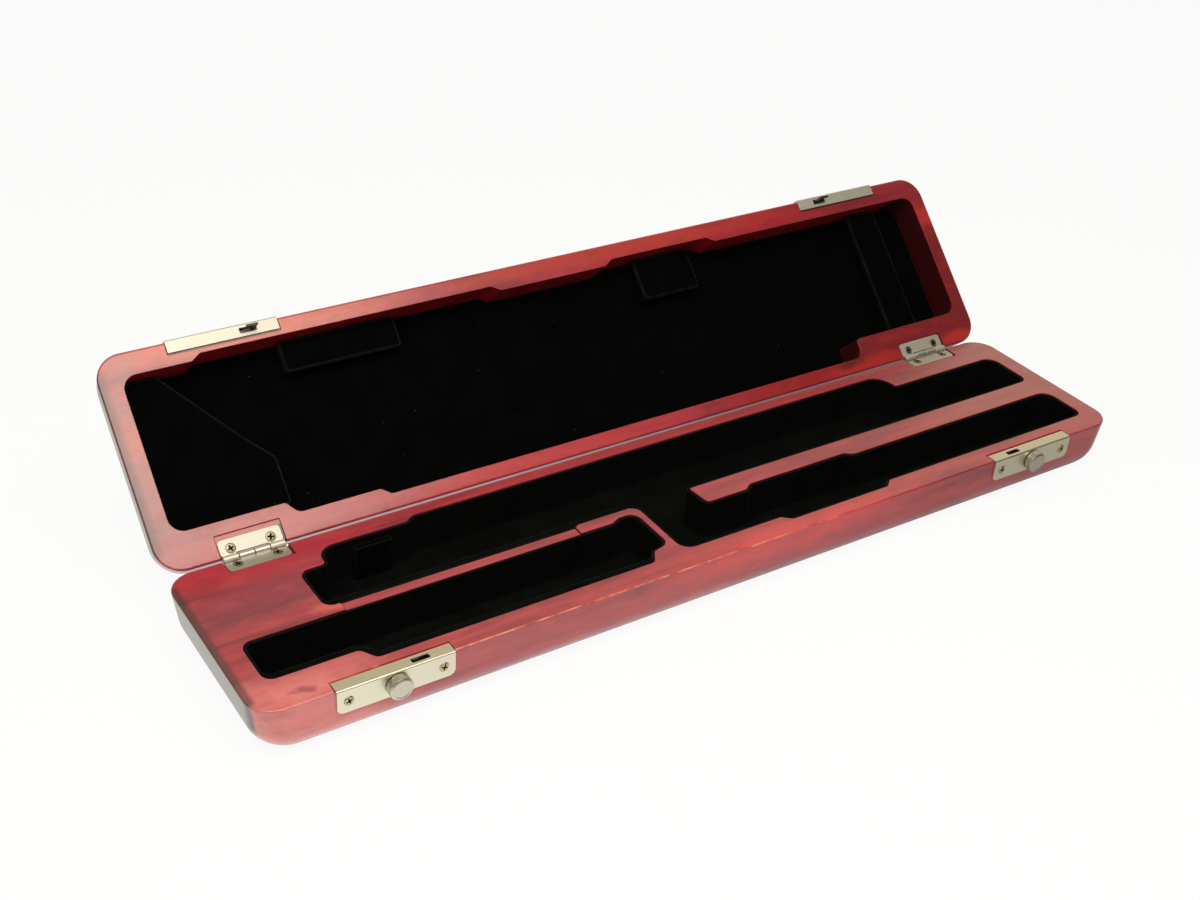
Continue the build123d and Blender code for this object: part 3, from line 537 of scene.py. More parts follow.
@dataclass(frozen=True)
class StainedHardwood:
    """Close-grained hardwood, stained dark red and sprayed with a satin lacquer.

    The stain leaves long soft streaks of crimson, rose and brown; the lacquer lies over the
    grain as a smooth film, so the wood looks deep but its reflections are soft and milky.
    """

    name: str
    deep: str = "#6c1226"
    stain: str = "#921b2e"
    rose: str = "#aa2c40"
    warm: str = "#b23036"
    warm_share: float = 0.45
    streak_length: float = 60.0      # mm along the grain between colour changes
    streak_width: float = 6.0        # mm across the grain
    mottle_length: float = 15.0      # mm; blotches where the stain took unevenly
    mottle_width: float = 5.0
    mottle_warm: str = "#ba4440"
    mottle_cool: str = "#8c2c48"
    warm_mottle: float = 0.34        # greatest share of each mottle
    cool_mottle: float = 0.28
    fibre_length: float = 9.0        # mm; real fibres are shorter and finer, drawn to show
    fibre_width: float = 0.45
    fibre_tones: Span = (0.93, 1.06)
    pore_length: float = 3.2
    pore_width: float = 0.25
    pore_tones: Span = (0.88, 1.0)
    wander: float = 9.0              # mm that the edges of stained patches wander
    wander_size: float = 11.0
    patch_core: float = 0.45         # share of a patch's reach with its full colour
    film_length: float = 30.0        # mm between the lacquer's swells
    film_width: float = 14.0
    lacquer_roughness: float = 0.24
    wood_roughness: float = 0.45
    ior: float = 1.5
    shift: Point = (0.0, 0.0, 0.0)   # where in the plank this piece was cut
    patches: tuple[StainAndLightPatch, ...] = ()
    # painted shade: boxes where the bays, gaps and left ends are darkened
    shades: tuple[Shade, ...] = ()
    worn: WornArris | None = None

    def stain_and_light_patches(self, graph: Graph, place: Socket, colour: Socket) -> Socket:
        """Lay the patches of stain and painted light over a colour, with wandering edges."""
        noise = graph.add("TexNoise", place, out="Color",
                          named={"Scale": 1 / self.wander_size, "Detail": 4.0})
        centred = graph.add("VectorMath", noise, (0.5, 0.5, 0.5), operation="SUBTRACT")
        drift = (2.5 * self.wander, self.wander, self.wander)
        offset = graph.add("VectorMath", centred, drift, operation="MULTIPLY")
        wandered = graph.add("VectorMath", place, offset, operation="ADD")
        for patch in self.patches:
            away = graph.add("VectorMath", wandered, patch.place, operation="SUBTRACT")
            scaled = graph.add("VectorMath", away, patch.reach, operation="DIVIDE")
            distance = graph.add("VectorMath", scaled, out="Value", operation="LENGTH")
            cover = graph.add("MapRange", distance, self.patch_core, 1.0, patch.strength, 0.0)
            colour = graph.add("Mix", named={0: cover, 6: colour, 7: linear(patch.colour)},
                               out=2, data_type="RGBA")
        return colour

    def wear(self, graph: Graph, place: Socket, colour: Socket) -> Socket:
        """Rub one long edge through to orange wood."""
        worn = self.worn
        if worn is None:
            return colour
        x, y, z = graph.add("SeparateXYZ", place).node.outputs
        left, right = worn.x_span
        y_edge, z_edge = worn.outside_y, worn.above_z
        outside = graph.add("MapRange", y, y_edge, y_edge - worn.softness, 0.0, 1.0)
        above = graph.add("MapRange", z, z_edge, z_edge + worn.softness, 0.0, 1.0)
        begun = graph.add("MapRange", x, left - worn.fade_in, left, 0.0, 1.0)
        lasting = graph.add("MapRange", x, right, right + worn.fade_out, 1.0, 0.0)
        along = graph.add("Math", x, worn.run_length, operation="DIVIDE")
        runs = graph.add("TexNoise", named={"W": along, "Scale": 1.0, "Detail": 3.0},
                         noise_dimensions="1D")
        broken = graph.add("MapRange", runs, *worn.run_noise, *worn.rubbed)
        edge = graph.add("Math", outside, above, operation="MULTIPLY")
        length = graph.add("Math", begun, lasting, operation="MULTIPLY")
        length = graph.add("Math", broken, length, operation="MULTIPLY")
        cover = graph.add("Math", edge, length, operation="MULTIPLY")
        return graph.add("Mix", named={0: cover, 6: colour, 7: linear(worn.colour)},
                         out=2, data_type="RGBA")

    def build(self) -> bpy.types.Material:
        """Build the material."""
        material, graph = blank_material(self.name)
        place = graph.add("Attribute", out="Vector", attribute_name=BENCH)

        def grain(length: float, width: float, detail: float, distortion: float = 0.0) -> Socket:
            """Noise drawn out along the grain."""
            return graph.drawn_noise(place, (length, width, width), detail, distortion, self.shift)

        streaks = grain(self.streak_length, self.streak_width, 3.0, 0.6)
        colour = stops_laid(graph.add("ValToRGB", streaks), (
            (0.30, self.deep), (0.44, self.stain), (0.60, self.rose), (0.75, self.stain)))
        broad = grain(2.6 * self.streak_length, 5 * self.streak_width, 2.0, 0.4)
        warmth = graph.add("MapRange", broad, 0.46, 0.70, 0.0, self.warm_share)
        colour = graph.add("Mix", named={0: warmth, 6: colour, 7: linear(self.warm)},
                           out=2, data_type="RGBA")
        colour = self.stain_and_light_patches(graph, place, colour)
        mottle = grain(self.mottle_length, self.mottle_width, 3.0, 0.8)
        for full, share, tint in ((0.70, self.warm_mottle, self.mottle_warm),
                                  (0.30, self.cool_mottle, self.mottle_cool)):
            cover = graph.add("MapRange", mottle, 0.50, full, 0.0, share)
            colour = graph.add("Mix", named={0: cover, 6: colour, 7: linear(tint)},
                               out=2, data_type="RGBA")
        # painted shade laid over the colour in the shade boxes
        colour = graph.shaded(self.wear(graph, place, colour), self.shades)
        fibres = grain(self.fibre_length, self.fibre_width, 4.0)
        pores = grain(self.pore_length, self.pore_width, 2.0)
        fibre_tone = graph.add("MapRange", fibres, 0.3, 0.7, *self.fibre_tones)
        pore_tone = graph.add("MapRange", pores, 0.28, 0.40, *self.pore_tones)
        tone = graph.add("Math", fibre_tone, pore_tone, operation="MULTIPLY")
        film = grain(self.film_length, self.film_width, 1.0)
        graph.surface({
            "Base Color": graph.add("VectorMath", colour, named={"Scale": tone},
                                    operation="SCALE"),
            "Roughness": self.wood_roughness,
            "IOR": self.ior,
            "Coat Weight": 1.0,
            "Coat Roughness": self.lacquer_roughness,
            "Coat IOR": self.ior,
            "Normal": graph.add("Bump", named={
                "Strength": 0.12, "Distance": 0.0001, "Height": fibres}),
            "Coat Normal": graph.add("Bump", named={
                "Strength": 0.08, "Distance": 0.0004, "Height": film}),
        })
        return material


@dataclass(frozen=True)
class CottonVelvet:
    """Woven cotton velvet, black, glued over board and foam.

    Its pile swallows light face on and shows a grey bloom at grazing angles and on folded edges; on
    the folds a grey sheen is also painted into its colour.
    """

    name: str = "cotton_velvet_woven_black"
    pile: str = "#020303"
    bloom: str = "#7c8583"
    bloom_weight: float = 0.025
    pile_size: float = 0.35          # mm between tufts; real pile is finer
    pile_tones: Span = (0.4, 1.6)
    nap_size: float = 14.0           # mm between places where the nap lies another way
    nap_tones: Span = (0.8, 1.45)
    fold: str = "#141817"            # painted sheen: the grey laid into the colour on folds
    fold_bloom: float = 0.5
    fold_size: float = 6.0           # mm between stretches where a fold shows more or less
    fold_shares: Span = (0.45, 1.0)
    dust: str = "#6a6660"
    dust_spacing: float = 7.0        # mm between specks of dust
    dust_radii: Span = (0.012, 0.024)     # of a speck's core and edge, as shares of the spacing

    def build(self) -> bpy.types.Material:
        """Build the material."""
        material, graph = blank_material(self.name)
        place = graph.add("Attribute", out="Vector", attribute_name=BENCH)
        middle = (0.3, 0.7)
        tufts, nap, along = (
            graph.add("TexNoise", place, named={"Scale": 1 / size, "Detail": detail}) for
            size, detail in ((self.pile_size, 2.0), (self.nap_size, 3.0), (self.fold_size, 2.0)))
        nap_tone = graph.add("MapRange", nap, 0.35, 0.65, *self.nap_tones)
        tuft_tone = graph.add("MapRange", tufts, *middle, *self.pile_tones)
        tone = graph.add("Math", nap_tone, tuft_tone, operation="MULTIPLY")
        pile = graph.add("VectorMath", linear(self.pile)[:3], named={"Scale": tone},
                         operation="SCALE")
        cells = graph.add("TexVoronoi", place, named={
            "Scale": 1 / self.dust_spacing, "Randomness": 1.0}, out="Distance")
        speck = graph.add("MapRange", cells, *self.dust_radii, 1.0, 0.0)
        folded = graph.add("Attribute", out="Fac", attribute_name=FOLD)
        share = graph.add("MapRange", along, *middle, *self.fold_shares)
        # painted sheen: the pile's colour turns grey on folds; the same mask raises the real sheen
        fold_sheen = graph.add("Math", folded, share, operation="MULTIPLY")
        sheened_pile = graph.add("Mix", named={0: fold_sheen, 6: pile, 7: linear(self.fold)},
                            out=2, data_type="RGBA")
        graph.surface({
            "Base Color": graph.add("Mix", named={0: speck, 6: sheened_pile, 7: linear(self.dust)},
                                    out=2, data_type="RGBA"),
            "Roughness": 0.95,
            "Specular IOR Level": 0.04,
            "Sheen Weight": graph.add("MapRange", fold_sheen, 0.0, 1.0, self.bloom_weight,
                                      self.fold_bloom),
            "Sheen Roughness": 0.4,
            "Sheen Tint": linear(self.bloom),
            "Normal": graph.add("Bump", named={
                "Strength": 0.35, "Distance": 0.0003, "Height": tufts}),
        })
        return material


@dataclass(frozen=True)
class SatinMetal:
    """Metal scratch-brushed and left satin, such as nickel plate over pressed steel.

    The brushing blurs reflections into a soft warm grey, drawn out along the strokes.
    """

    name: str
    tint: str = "#dad7c3"
    roughness: float = 0.38
    smoother: float = 0.05           # how far the strokes lower the roughness
    rougher: float = 0.07            # and raise it
    tones: Span = (0.92, 1.05)
    stroke_length: float = 9.0       # mm
    stroke_width: float = 0.12       # mm; real strokes are finer
    # painted shade in the screws' recesses
    recess_shade: tuple[Shade, ...] = ()

    def build(self) -> bpy.types.Material:
        """Build the material."""
        material, graph = blank_material(self.name)
        place = graph.add("TexCoord", out="Object")
        middle = (0.3, 0.7)
        length, width = self.stroke_length * MM, self.stroke_width * MM
        strokes = graph.drawn_noise(place, (length, width, width), 3.0)
        tone = graph.add("MapRange", strokes, *middle, *self.tones)
        tinted = graph.add("VectorMath", linear(self.tint)[:3], named={"Scale": tone},
                           operation="SCALE")
        graph.surface({
            "Base Color": graph.shaded(tinted, self.recess_shade),
            "Metallic": 1.0,
            "Roughness": graph.add("MapRange", strokes, *middle, self.roughness - self.smoother,
                                   self.roughness + self.rougher),
            "Normal": graph.add("Bump", named={
                "Strength": 0.08, "Distance": 0.00003, "Height": strokes}),
        })
        return material


BASE_STAINS_AND_SHEEN = (
    StainAndLightPatch("#7e2438", (-186.0, 14.0, 24.0), (62.0, 15.0, 26.0), 0.7),    # mauve left end
    StainAndLightPatch("#ae1634", (-178.0, 38.0, 24.0), (58.0, 9.0, 30.0), 0.85),    # crimson along the hinges
    StainAndLightPatch("#e0807f", (-190.0, -38.0, 12.0), (48.0, 22.0, 22.0), 0.85),  # painted sheen on the pale rose front corner, where light falls from the front left
    StainAndLightPatch("#7a2f3c", (-190.0, -37.6, 24.0), (7.0, 2.6, 5.0), 0.7),      # knot
    StainAndLightPatch("#d2564a", (-157.0, -0.6, 24.0), (17.0, 4.0, 6.0), 0.7),      # orange between the bays
    StainAndLightPatch("#e07a48", (-157.4, -39.0, 24.0), (30.0, 0.9, 3.0), 0.8),     # rubbed by the left latch
    StainAndLightPatch("#c2424a", (-70.0, -44.0, 15.0), (170.0, 8.0, 9.0), 0.45),    # rose front face
    StainAndLightPatch("#d8343e", (20.0, -43.0, 21.0), (80.0, 10.0, 7.0), 0.75),     # scarlet front rail
    StainAndLightPatch("#a8605a", (190.0, 8.0, 24.0), (70.0, 60.0, 16.0), 0.35),     # pale grey-pink right end
)
LID_STAINS_AND_LIGHT = (
    StainAndLightPatch("#7c0619", (165.0, 10.0, 24.3), (135.0, 70.0, 40.0), 0.92),   # deep crimson right end
    StainAndLightPatch("#b0142a", (60.0, -40.0, 24.3), (110.0, 8.0, 20.0), 0.75),    # crimson front rail
    StainAndLightPatch("#d06048", (-150.0, -41.0, 24.3), (90.0, 8.0, 20.0), 0.7),    # pale orange front rail: stain, with painted light on its left
    StainAndLightPatch("#c22a28", (204.0, -24.0, 24.3), (9.0, 9.0, 20.0), 0.8),      # scarlet patch
    StainAndLightPatch("#c02a25", (199.0, 41.0, 24.3), (18.0, 5.0, 20.0), 0.85),     # scarlet corner
    StainAndLightPatch("#cc3840", (-40.0, 40.0, 24.3), (90.0, 8.0, 20.0), 0.65),     # scarlet mid hinge rail
    StainAndLightPatch("#a00a1a", (100.0, 40.0, 24.3), (60.0, 7.0, 20.0), 0.7),      # crimson hinge rail
    StainAndLightPatch("#b3211f", (143.0, 41.0, 24.3), (34.0, 4.5, 20.0), 0.8),      # scarlet hinge rail
    StainAndLightPatch("#4f0a14", (131.0, 37.0, 24.3), (9.0, 4.0, 10.0), 0.7),       # dark knot
    StainAndLightPatch("#b83a30", (20.0, -41.0, 24.3), (120.0, 6.0, 20.0), 0.7),     # orange-brown front rail
    StainAndLightPatch("#a0686a", (-203.0, 0.0, 24.3), (13.0, 60.0, 14.0), 0.6),     # painted reflection: greyer, paler left end
    StainAndLightPatch("#c65a44", (-202.0, -8.0, 24.3), (14.0, 10.0, 14.0), 0.5),    # orange on the left end
    StainAndLightPatch("#c05c60", (-150.0, 37.0, 24.3), (80.0, 9.0, 20.0), 0.6),     # pale rose hinge rail
)


@dataclass(frozen=True)
class PaintedCarvingShade:
    """Painted shade of one shell: darker colour where light gets lost, on its bays' lips and walls,
    behind its front plates, under the slots and in the hinges' slits.
    """

    rim: float
    facing: int                      # +1 in the base and -1 in the lid
    front_wall: str                  # colour of the bays' front wall, which the lamps reach least
    # painted shade on the bays' walls
    wall: str = "#3c060c"
    cut: str = "#3a0a10"             # painted shade behind the front plates
    end_rail: float = 7.5            # the shades of the bays start this far from both ends
    long_rail: float = 5.5           # and this far from the front and back
    hinge_rail: float = 11.0         # but the lips' shade stops this far from the back
    front_depth: float = 6.0         # how far the front wall's shade reaches in
    right_gap: float = 12.0          # and how far it stops short of the others on the right
    lip_depths: Span = (0.35, 1.3)   # depths are below the rim
    wall_depths: Span = (1.3, 16.5)
    plate_span: Span = (133.6, 181.0)
    rebate: tuple[Span, Span] = ((4.2, 5.2), (0.2, 3.0))      # from the front face, and depths
    slot: tuple[Span, Span] = ((0.5, 4.5), (0.4, 6.0))
    slit_span: Span = (12.7, 13.9)   # from a hinge's middle, at its right-hand end
    slit_reach: float = 7.7
    slit_depths: Span = (0.15, 3.0)

    def heights(self, depths: Span) -> Span:
        """Heights of two depths under the rim, the lower one first."""
        low, high = sorted(self.rim - self.facing * depth for depth in depths)
        return low, high

    def shades(self) -> tuple[Shade, ...]:
        """Shades of the bays' lips and walls, the rebates and slots, and the hinges' slits."""
        x, y = RIGHT - self.end_rail, BACK - self.long_rail
        deep = self.heights(self.wall_depths)
        near, far = self.plate_span
        behind = [Shade(span, (FRONT + low, FRONT + high), self.heights(depths), self.cut)
                  for (low, high), depths in (self.rebate, self.slot)
                  for span in ((-far, -near), (near, far))]
        low, high = self.slit_span
        slits = [Shade((middle + low, middle + high), (BACK - self.slit_reach, BACK + 1.0),
                       self.heights(self.slit_depths)) for middle in (HINGE_MIDDLE, -HINGE_MIDDLE)]
        return (Shade((-x, x), (-y, BACK - self.hinge_rail), self.heights(self.lip_depths)),
                Shade((-x, x), (-y, y), deep, self.wall),
                Shade((-x, x - self.right_gap), (-y, self.front_depth - y), deep, self.front_wall),
                *behind, *slits)


def left_end(z_span: Span, softness: float) -> Shade:
    """Painted shade: the dark grey-brown middle of a shell's left end."""
    return Shade((LEFT - 3, LEFT + 3), (FRONT + 7, BACK - 7), z_span, "#301c1b", softness)


def screw_recess_shade() -> tuple[Shade, ...]:
    """Painted shade in the crosses of the screws in the front plates and in both hinge leaves."""
    sunk, deep = 0.14, 1.3           # the painted shade's depths under the heads' plates
    leaf = 0.1                       # leaf faces lie this far below the rims
    hinge = (BACK - 8, BACK + 2)
    places = (
        ((FRONT - SHEET + sunk, FRONT + deep), (0.0, 2 * RIM)),
        (hinge, (RIM - leaf - deep, RIM - leaf - sunk)),
        (hinge, (LID_RIM + leaf + sunk, LID_RIM + leaf + deep)),
    )
    return tuple(Shade((LEFT, RIGHT), y_span, z_span, "#12100d", 0.04)
                 for y_span, z_span in places)


class Finishes:
    """The case's finishes, each built once."""

    def __init__(self) -> None:
        """Build every material."""
        arris = WornArris(x_span=(-134.0, 20.0), outside_y=FRONT + 0.55, above_z=RIM - 0.6)
        self.base_wood = StainedHardwood(
            "hardwood_stained_lacquered_base", patches=BASE_STAINS_AND_SHEEN, worn=arris,
            shades=(*PaintedCarvingShade(RIM, 1, "#46060d").shades(), left_end((-2, RIM + 0.4), 0.9)),
        ).build()
        self.slat_wood = StainedHardwood(
            "hardwood_stained_lacquered_slat", shift=(3.0, 7.0, 1.0)).build()
        self.lid_wood = StainedHardwood(
            "hardwood_stained_lacquered_lid", shift=(11.0, 3.0, 5.0), patches=LID_STAINS_AND_LIGHT,
            mottle_warm="#b42028", mottle_cool="#740c22",
            shades=(*PaintedCarvingShade(LID_RIM, -1, "#9a1220").shades(),
                    left_end((LID_RIM - 0.4, LID_RIM + 22), 1.4)),
        ).build()
        self.velvet = CottonVelvet().build()
        # painted light: a lighter copy of the velvet for the base's linings, whose deep walls get
        # little light
        self.lightened_lining_velvet = CottonVelvet(
            "cotton_velvet_woven_black_lining", pile="#070908").build()
        recess_shade = screw_recess_shade()
        self.nickel = SatinMetal("nickel_plate_satin").build()
        self.hinge_nickel = SatinMetal("nickel_plate_satin_hinge", "#d4d2c8", 0.42).build()
        self.rough_nickel = SatinMetal("nickel_plate_satin_worn", "#dcdad0", 0.6).build()
        self.screw = SatinMetal(
            "nickel_plate_screws_latch", "#beb08c", 0.34, recess_shade=recess_shade).build()
        self.hinge_screw = SatinMetal(
            "nickel_plate_screws_hinge", "#928c7c", 0.42, recess_shade=recess_shade).build()
        self.knob = SatinMetal("nickel_plate_turned_knob", "#c4c0b3").build()
        self.steel = SatinMetal("steel_drawn_bright", "#a9a79f", 0.35).build()
        self.hook = SatinMetal("steel_pressed_blackened", "#4b4944", 0.45).build()


# ---------------------------------------------------------------- mesh work
class Boolean(Enum):
    """Ways of combining two solids."""

    CUT = "DIFFERENCE"
    FUSE = "UNION"
    TRIM = "INTERSECT"


class Workpiece:
    """A piece under construction, in mm, with the lid shut."""

    def __init__(self, name: str) -> None:
        """Start an empty piece."""
        self.name = name
        self.object = bpy.data.objects.new(name, bpy.data.meshes.new(name))
        bpy.context.scene.collection.objects.link(self.object)

    def stack(self, rings: Sequence[Sequence[Vector]]) -> "Workpiece":
        """Skin a closed solid over rings of equal point counts, with both ends capped.

        Args:
            rings: loops of points, from one end of the solid to the other.

        Returns:
            This piece.
        """
        form = bmesh.new()
        form.from_mesh(self.object.data)
        loops = [[form.verts.new(point) for point in ring] for ring in rings]
        for lower, upper in zip(loops, loops[1:]):
            for i in range(len(lower)):
                j = (i + 1) % len(lower)
                form.faces.new((lower[i], lower[j], upper[j], upper[i]))
        form.faces.new(loops[0][::-1])
        form.faces.new(loops[-1])
        bmesh.ops.recalc_face_normals(form, faces=form.faces)
        form.to_mesh(self.object.data)
        form.free()
        return self

    def prism(self, plan: Outline, low: float, high: float) -> "Workpiece":
        """Add an upright prism between two heights."""
        return self.stack([plan.ring(z) for z in (low, high)])

    def block(self, x_span: Iterable[float], y_span: Iterable[float],
              z_span: Iterable[float]) -> "Workpiece":
        """Add a box between three pairs of coordinates, given in either order."""
        (x0, x1), (y0, y1), (z0, z1) = (sorted(span) for span in (x_span, y_span, z_span))
        corners = ((x0, y0), (x1, y0), (x1, y1), (x0, y1))
        return self.stack([[Vector((x, y, z)) for x, y in corners] for z in (z0, z1)])

    def bar(self, middle: Vector, axes: Sequence[Vector], sizes: Sequence[float]) -> "Workpiece":
        """Add a box about a middle point, with its own three axes."""
        a, b, c = (axis * size / 2 for axis, size in zip(axes, sizes))
        corners = ((-1, -1), (1, -1), (1, 1), (-1, 1))
        return self.stack([[middle + a * i + b * j + c * k for i, j in corners] for k in (-1, 1)])

    def extrusion(self, section: Sequence[Span], x_span: Sequence[float]) -> "Workpiece":
        """Add a closed section of (y, z) points drawn out along X."""
        return self.stack([[Vector((x, y, z)) for y, z in section] for x in x_span])

    def turned(self, profile: Sequence[Span], foot: Vector, axis: Vector,
               sides: int = 40) -> "Workpiece":
        """Add a turned solid.

        Args:
            profile: distances along the axis and radii, from one end to the other.
            foot: where the distances start.
            axis: unit vector along the solid.
            sides: how many flats approximate the round.

        Returns:
            This piece.
        """
        across = axis.orthogonal().normalized()
        other = axis.cross(across)
        turns = [2 * math.pi * i / sides for i in range(sides)]
        rim = [across * math.cos(a) + other * math.sin(a) for a in turns]
        return self.stack([[foot + axis * along + spoke * radius for spoke in rim]
                           for along, radius in profile])

    def combine(self, way: Boolean, *tools: "Workpiece") -> "Workpiece":
        """Combine this piece with others, one after another, and throw the others away."""
        for tool in tools:
            boolean = self.object.modifiers.new("combine", "BOOLEAN")
            boolean.operation = way.value
            boolean.solver = "EXACT"
            boolean.object = tool.object
            self.settle()
            bpy.data.objects.remove(tool.object)
        return self

    def ease(self, width: float, segments: int = 2, above: float = 40.0) -> "Workpiece":
        """Round every edge sharper than an angle.

        Args:
            width: the round's width in mm.
            segments: how many strips make the round.
            above: the angle in degrees.

        Returns:
            This piece.
        """
        bevel = self.object.modifiers.new("ease", "BEVEL")
        bevel.width = width
        bevel.segments = segments
        bevel.limit_method = "ANGLE"
        bevel.angle_limit = math.radians(above)
        bevel.use_clamp_overlap = False
        bevel.miter_outer = "MITER_ARC"
        return self.settle()

    def settle(self) -> "Workpiece":
        """Apply the modifiers."""
        graph = bpy.context.evaluated_depsgraph_get()
        settled = bpy.data.meshes.new_from_object(self.object.evaluated_get(graph))
        self.object.modifiers.clear()
        old = self.object.data
        self.object.data = settled
        bpy.data.meshes.remove(old)
        return self

    def mark_folds(self, flat: float = 12.0, full: float = 8.0,
                   broken: float = 60.0) -> "Workpiece":
        """Store how sharply the cloth folds outwards at each point.

        Args:
            flat: bends up to this many degrees are not folds.
            full: this many degrees more make a full fold.
            broken: bends beyond this many degrees are glued edges and not folds.

        Returns:
            This piece.
        """
        form = bmesh.new()
        form.from_mesh(self.object.data)
        folds = []
        for point in form.verts:
            bend = max((math.degrees(edge.calc_face_angle(0.0)) for edge in point.link_edges
                        if edge.is_convex), default=0.0)
            folds.append(0.0 if bend > broken else min(1.0, max(0.0, (bend - flat) / full)))
        form.free()
        stored = self.object.data.attributes.new(FOLD, "FLOAT", "POINT")
        stored.data.foreach_set("value", folds)
        return self

    def finish(self, material: bpy.types.Material, slot: Slot, body: Body, nodes: Sequence[str],
               smooth_below: float = 35.0) -> bpy.types.Object:
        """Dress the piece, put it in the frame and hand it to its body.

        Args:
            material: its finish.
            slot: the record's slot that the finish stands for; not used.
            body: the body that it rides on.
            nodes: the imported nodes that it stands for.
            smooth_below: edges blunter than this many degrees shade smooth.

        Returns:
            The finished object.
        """
        mesh = self.object.data
        places = mesh.attributes.new(BENCH, "FLOAT_VECTOR", "POINT")
        places.data.foreach_set("vector", [c for vertex in mesh.vertices for c in vertex.co])
        mesh.transform(to_frame(body))
        mesh.shade_smooth()
        mesh.set_sharp_from_angle(angle=math.radians(smooth_below))
        weighted = self.object.modifiers.new("weighted", "WEIGHTED_NORMAL")
        weighted.keep_sharp = True
        self.settle()
        mesh = self.object.data
        mesh.materials.clear()
        mesh.materials.append(material)
        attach(self.object, body.value)
        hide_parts(*nodes)
        LOG.info("%s on %s: %d faces", self.name, body.value, len(mesh.polygons))
        return self.object


def to_frame(body: Body) -> Matrix:
    """The move from bench millimetres to the frame's metres, with the lid swung open."""
    scale = Matrix.Scale(MM, 4)
    if body is not Body.LID:
        return scale
    swing = Matrix.Rotation(-OPEN_ANGLE, 4, "X")
    return scale @ Matrix.Translation(HINGE_AXIS) @ swing @ Matrix.Translation(-HINGE_AXIS)


# ---------------------------------------------------------------- shells
@dataclass(frozen=True)
class ShellForm:
    """The outer form of one shell, from its rim to its flat face."""

    rim: float
    face: float
    draft: float                     # degrees that the ends lean in
    rim_ease: float = 0.7
    face_round: float = 12.0         # round from walls to the flat face
    rim_corner: float = 11.0
    face_corner: float = 15.0
    ease_steps: int = 4
    round_steps: int = 12
    corner_segments: int = 16

    def levels(self) -> list[Span]:
        """Depth below the rim and inset of each ring, from the rim to the flat face."""
        start = abs(self.face - self.rim) - self.face_round
        levels = [(self.rim_ease * (1 - math.sin(a)), self.rim_ease * (1 - math.cos(a)))
                  for a in quarter(self.ease_steps)[::-1]]
        levels += [(start + self.face_round * math.sin(a), self.face_round * (1 - math.cos(a)))
                   for a in quarter(self.round_steps)]
        return levels

    def make(self, name: str) -> Workpiece:
        """Build the uncut shell.

        Args:
            name: the piece's name.

        Returns:
            The solid block.
        """
        height = abs(self.face - self.rim)
        direction = math.copysign(1, self.face - self.rim)
        grown = self.face_corner - self.rim_corner
        rings = []
        for depth, inset in self.levels():
            lean = depth * math.tan(math.radians(self.draft))
            corner = self.rim_corner + grown * depth / height - inset
            plan = rectangle((LEFT + lean + inset, RIGHT - lean - inset),
                             (FRONT + inset, BACK - inset), corner)
            ring = Outline(plan.corners, self.corner_segments)
            rings.append(ring.ring(self.rim + direction * depth))
        return Workpiece(name).stack(rings)


@dataclass(frozen=True)
class FlangeRebate:
    """The shallow rebate that each front plate's flange needs in the wood."""

    gap: float = 0.3
    back_gap: float = 0.9

    def cutters(self, rim: float, facing: int) -> list[Workpiece]:
        """Tools that cut both rebates; facing is +1 in the base and -1 in the lid."""
        half = PLATE_LENGTH / 2 + self.gap
        made = []
        for side in Side:
            middle = side.mirrored(PLATE_MIDDLE)
            made.append(Workpiece("rebate_tool").block(
                (middle - half, middle + half), (FRONT - 1, FRONT + FLANGE + self.back_gap),
                (rim + facing, rim - facing * SHEET)))
        return made


@dataclass(frozen=True)
class HingeMortise:
    """The mortises that the hinge leaves lie in."""

    gap: float = 0.3
    end_gap: float = 1.0             # at the right-hand end of each leaf
    depth: float = 0.9
    barrel: float = 1.7

    def cutters(self, rim: float, facing: int, left_ledge: float) -> list[Workpiece]:
        """Tools that cut both mortises.

        Args:
            rim: height of the wood's rim.
            facing: +1 in the base and -1 in the lid.
            left_ledge: bare wood beyond the left-hand leaf.

        Returns:
            The tools.
        """
        made = []
        for middle, ledge in ((HINGE_MIDDLE, left_ledge), (-HINGE_MIDDLE, self.gap)):
            start = middle - LEAF_WIDTH / 2 - self.gap
            end = middle + LEAF_WIDTH / 2 + self.end_gap
            made.append(Workpiece("mortise_tool").block(
                (start, end), (BACK - LEAF_REACH - ledge, BACK + 1),
                (rim + facing, rim - facing * self.depth)))
            made.append(Workpiece("barrel_tool").turned(
                ((0.0, self.barrel), (end - start, self.barrel)),
                Vector((start, HINGE_AXIS.y, HINGE_AXIS.z)), ALONG))
        return made


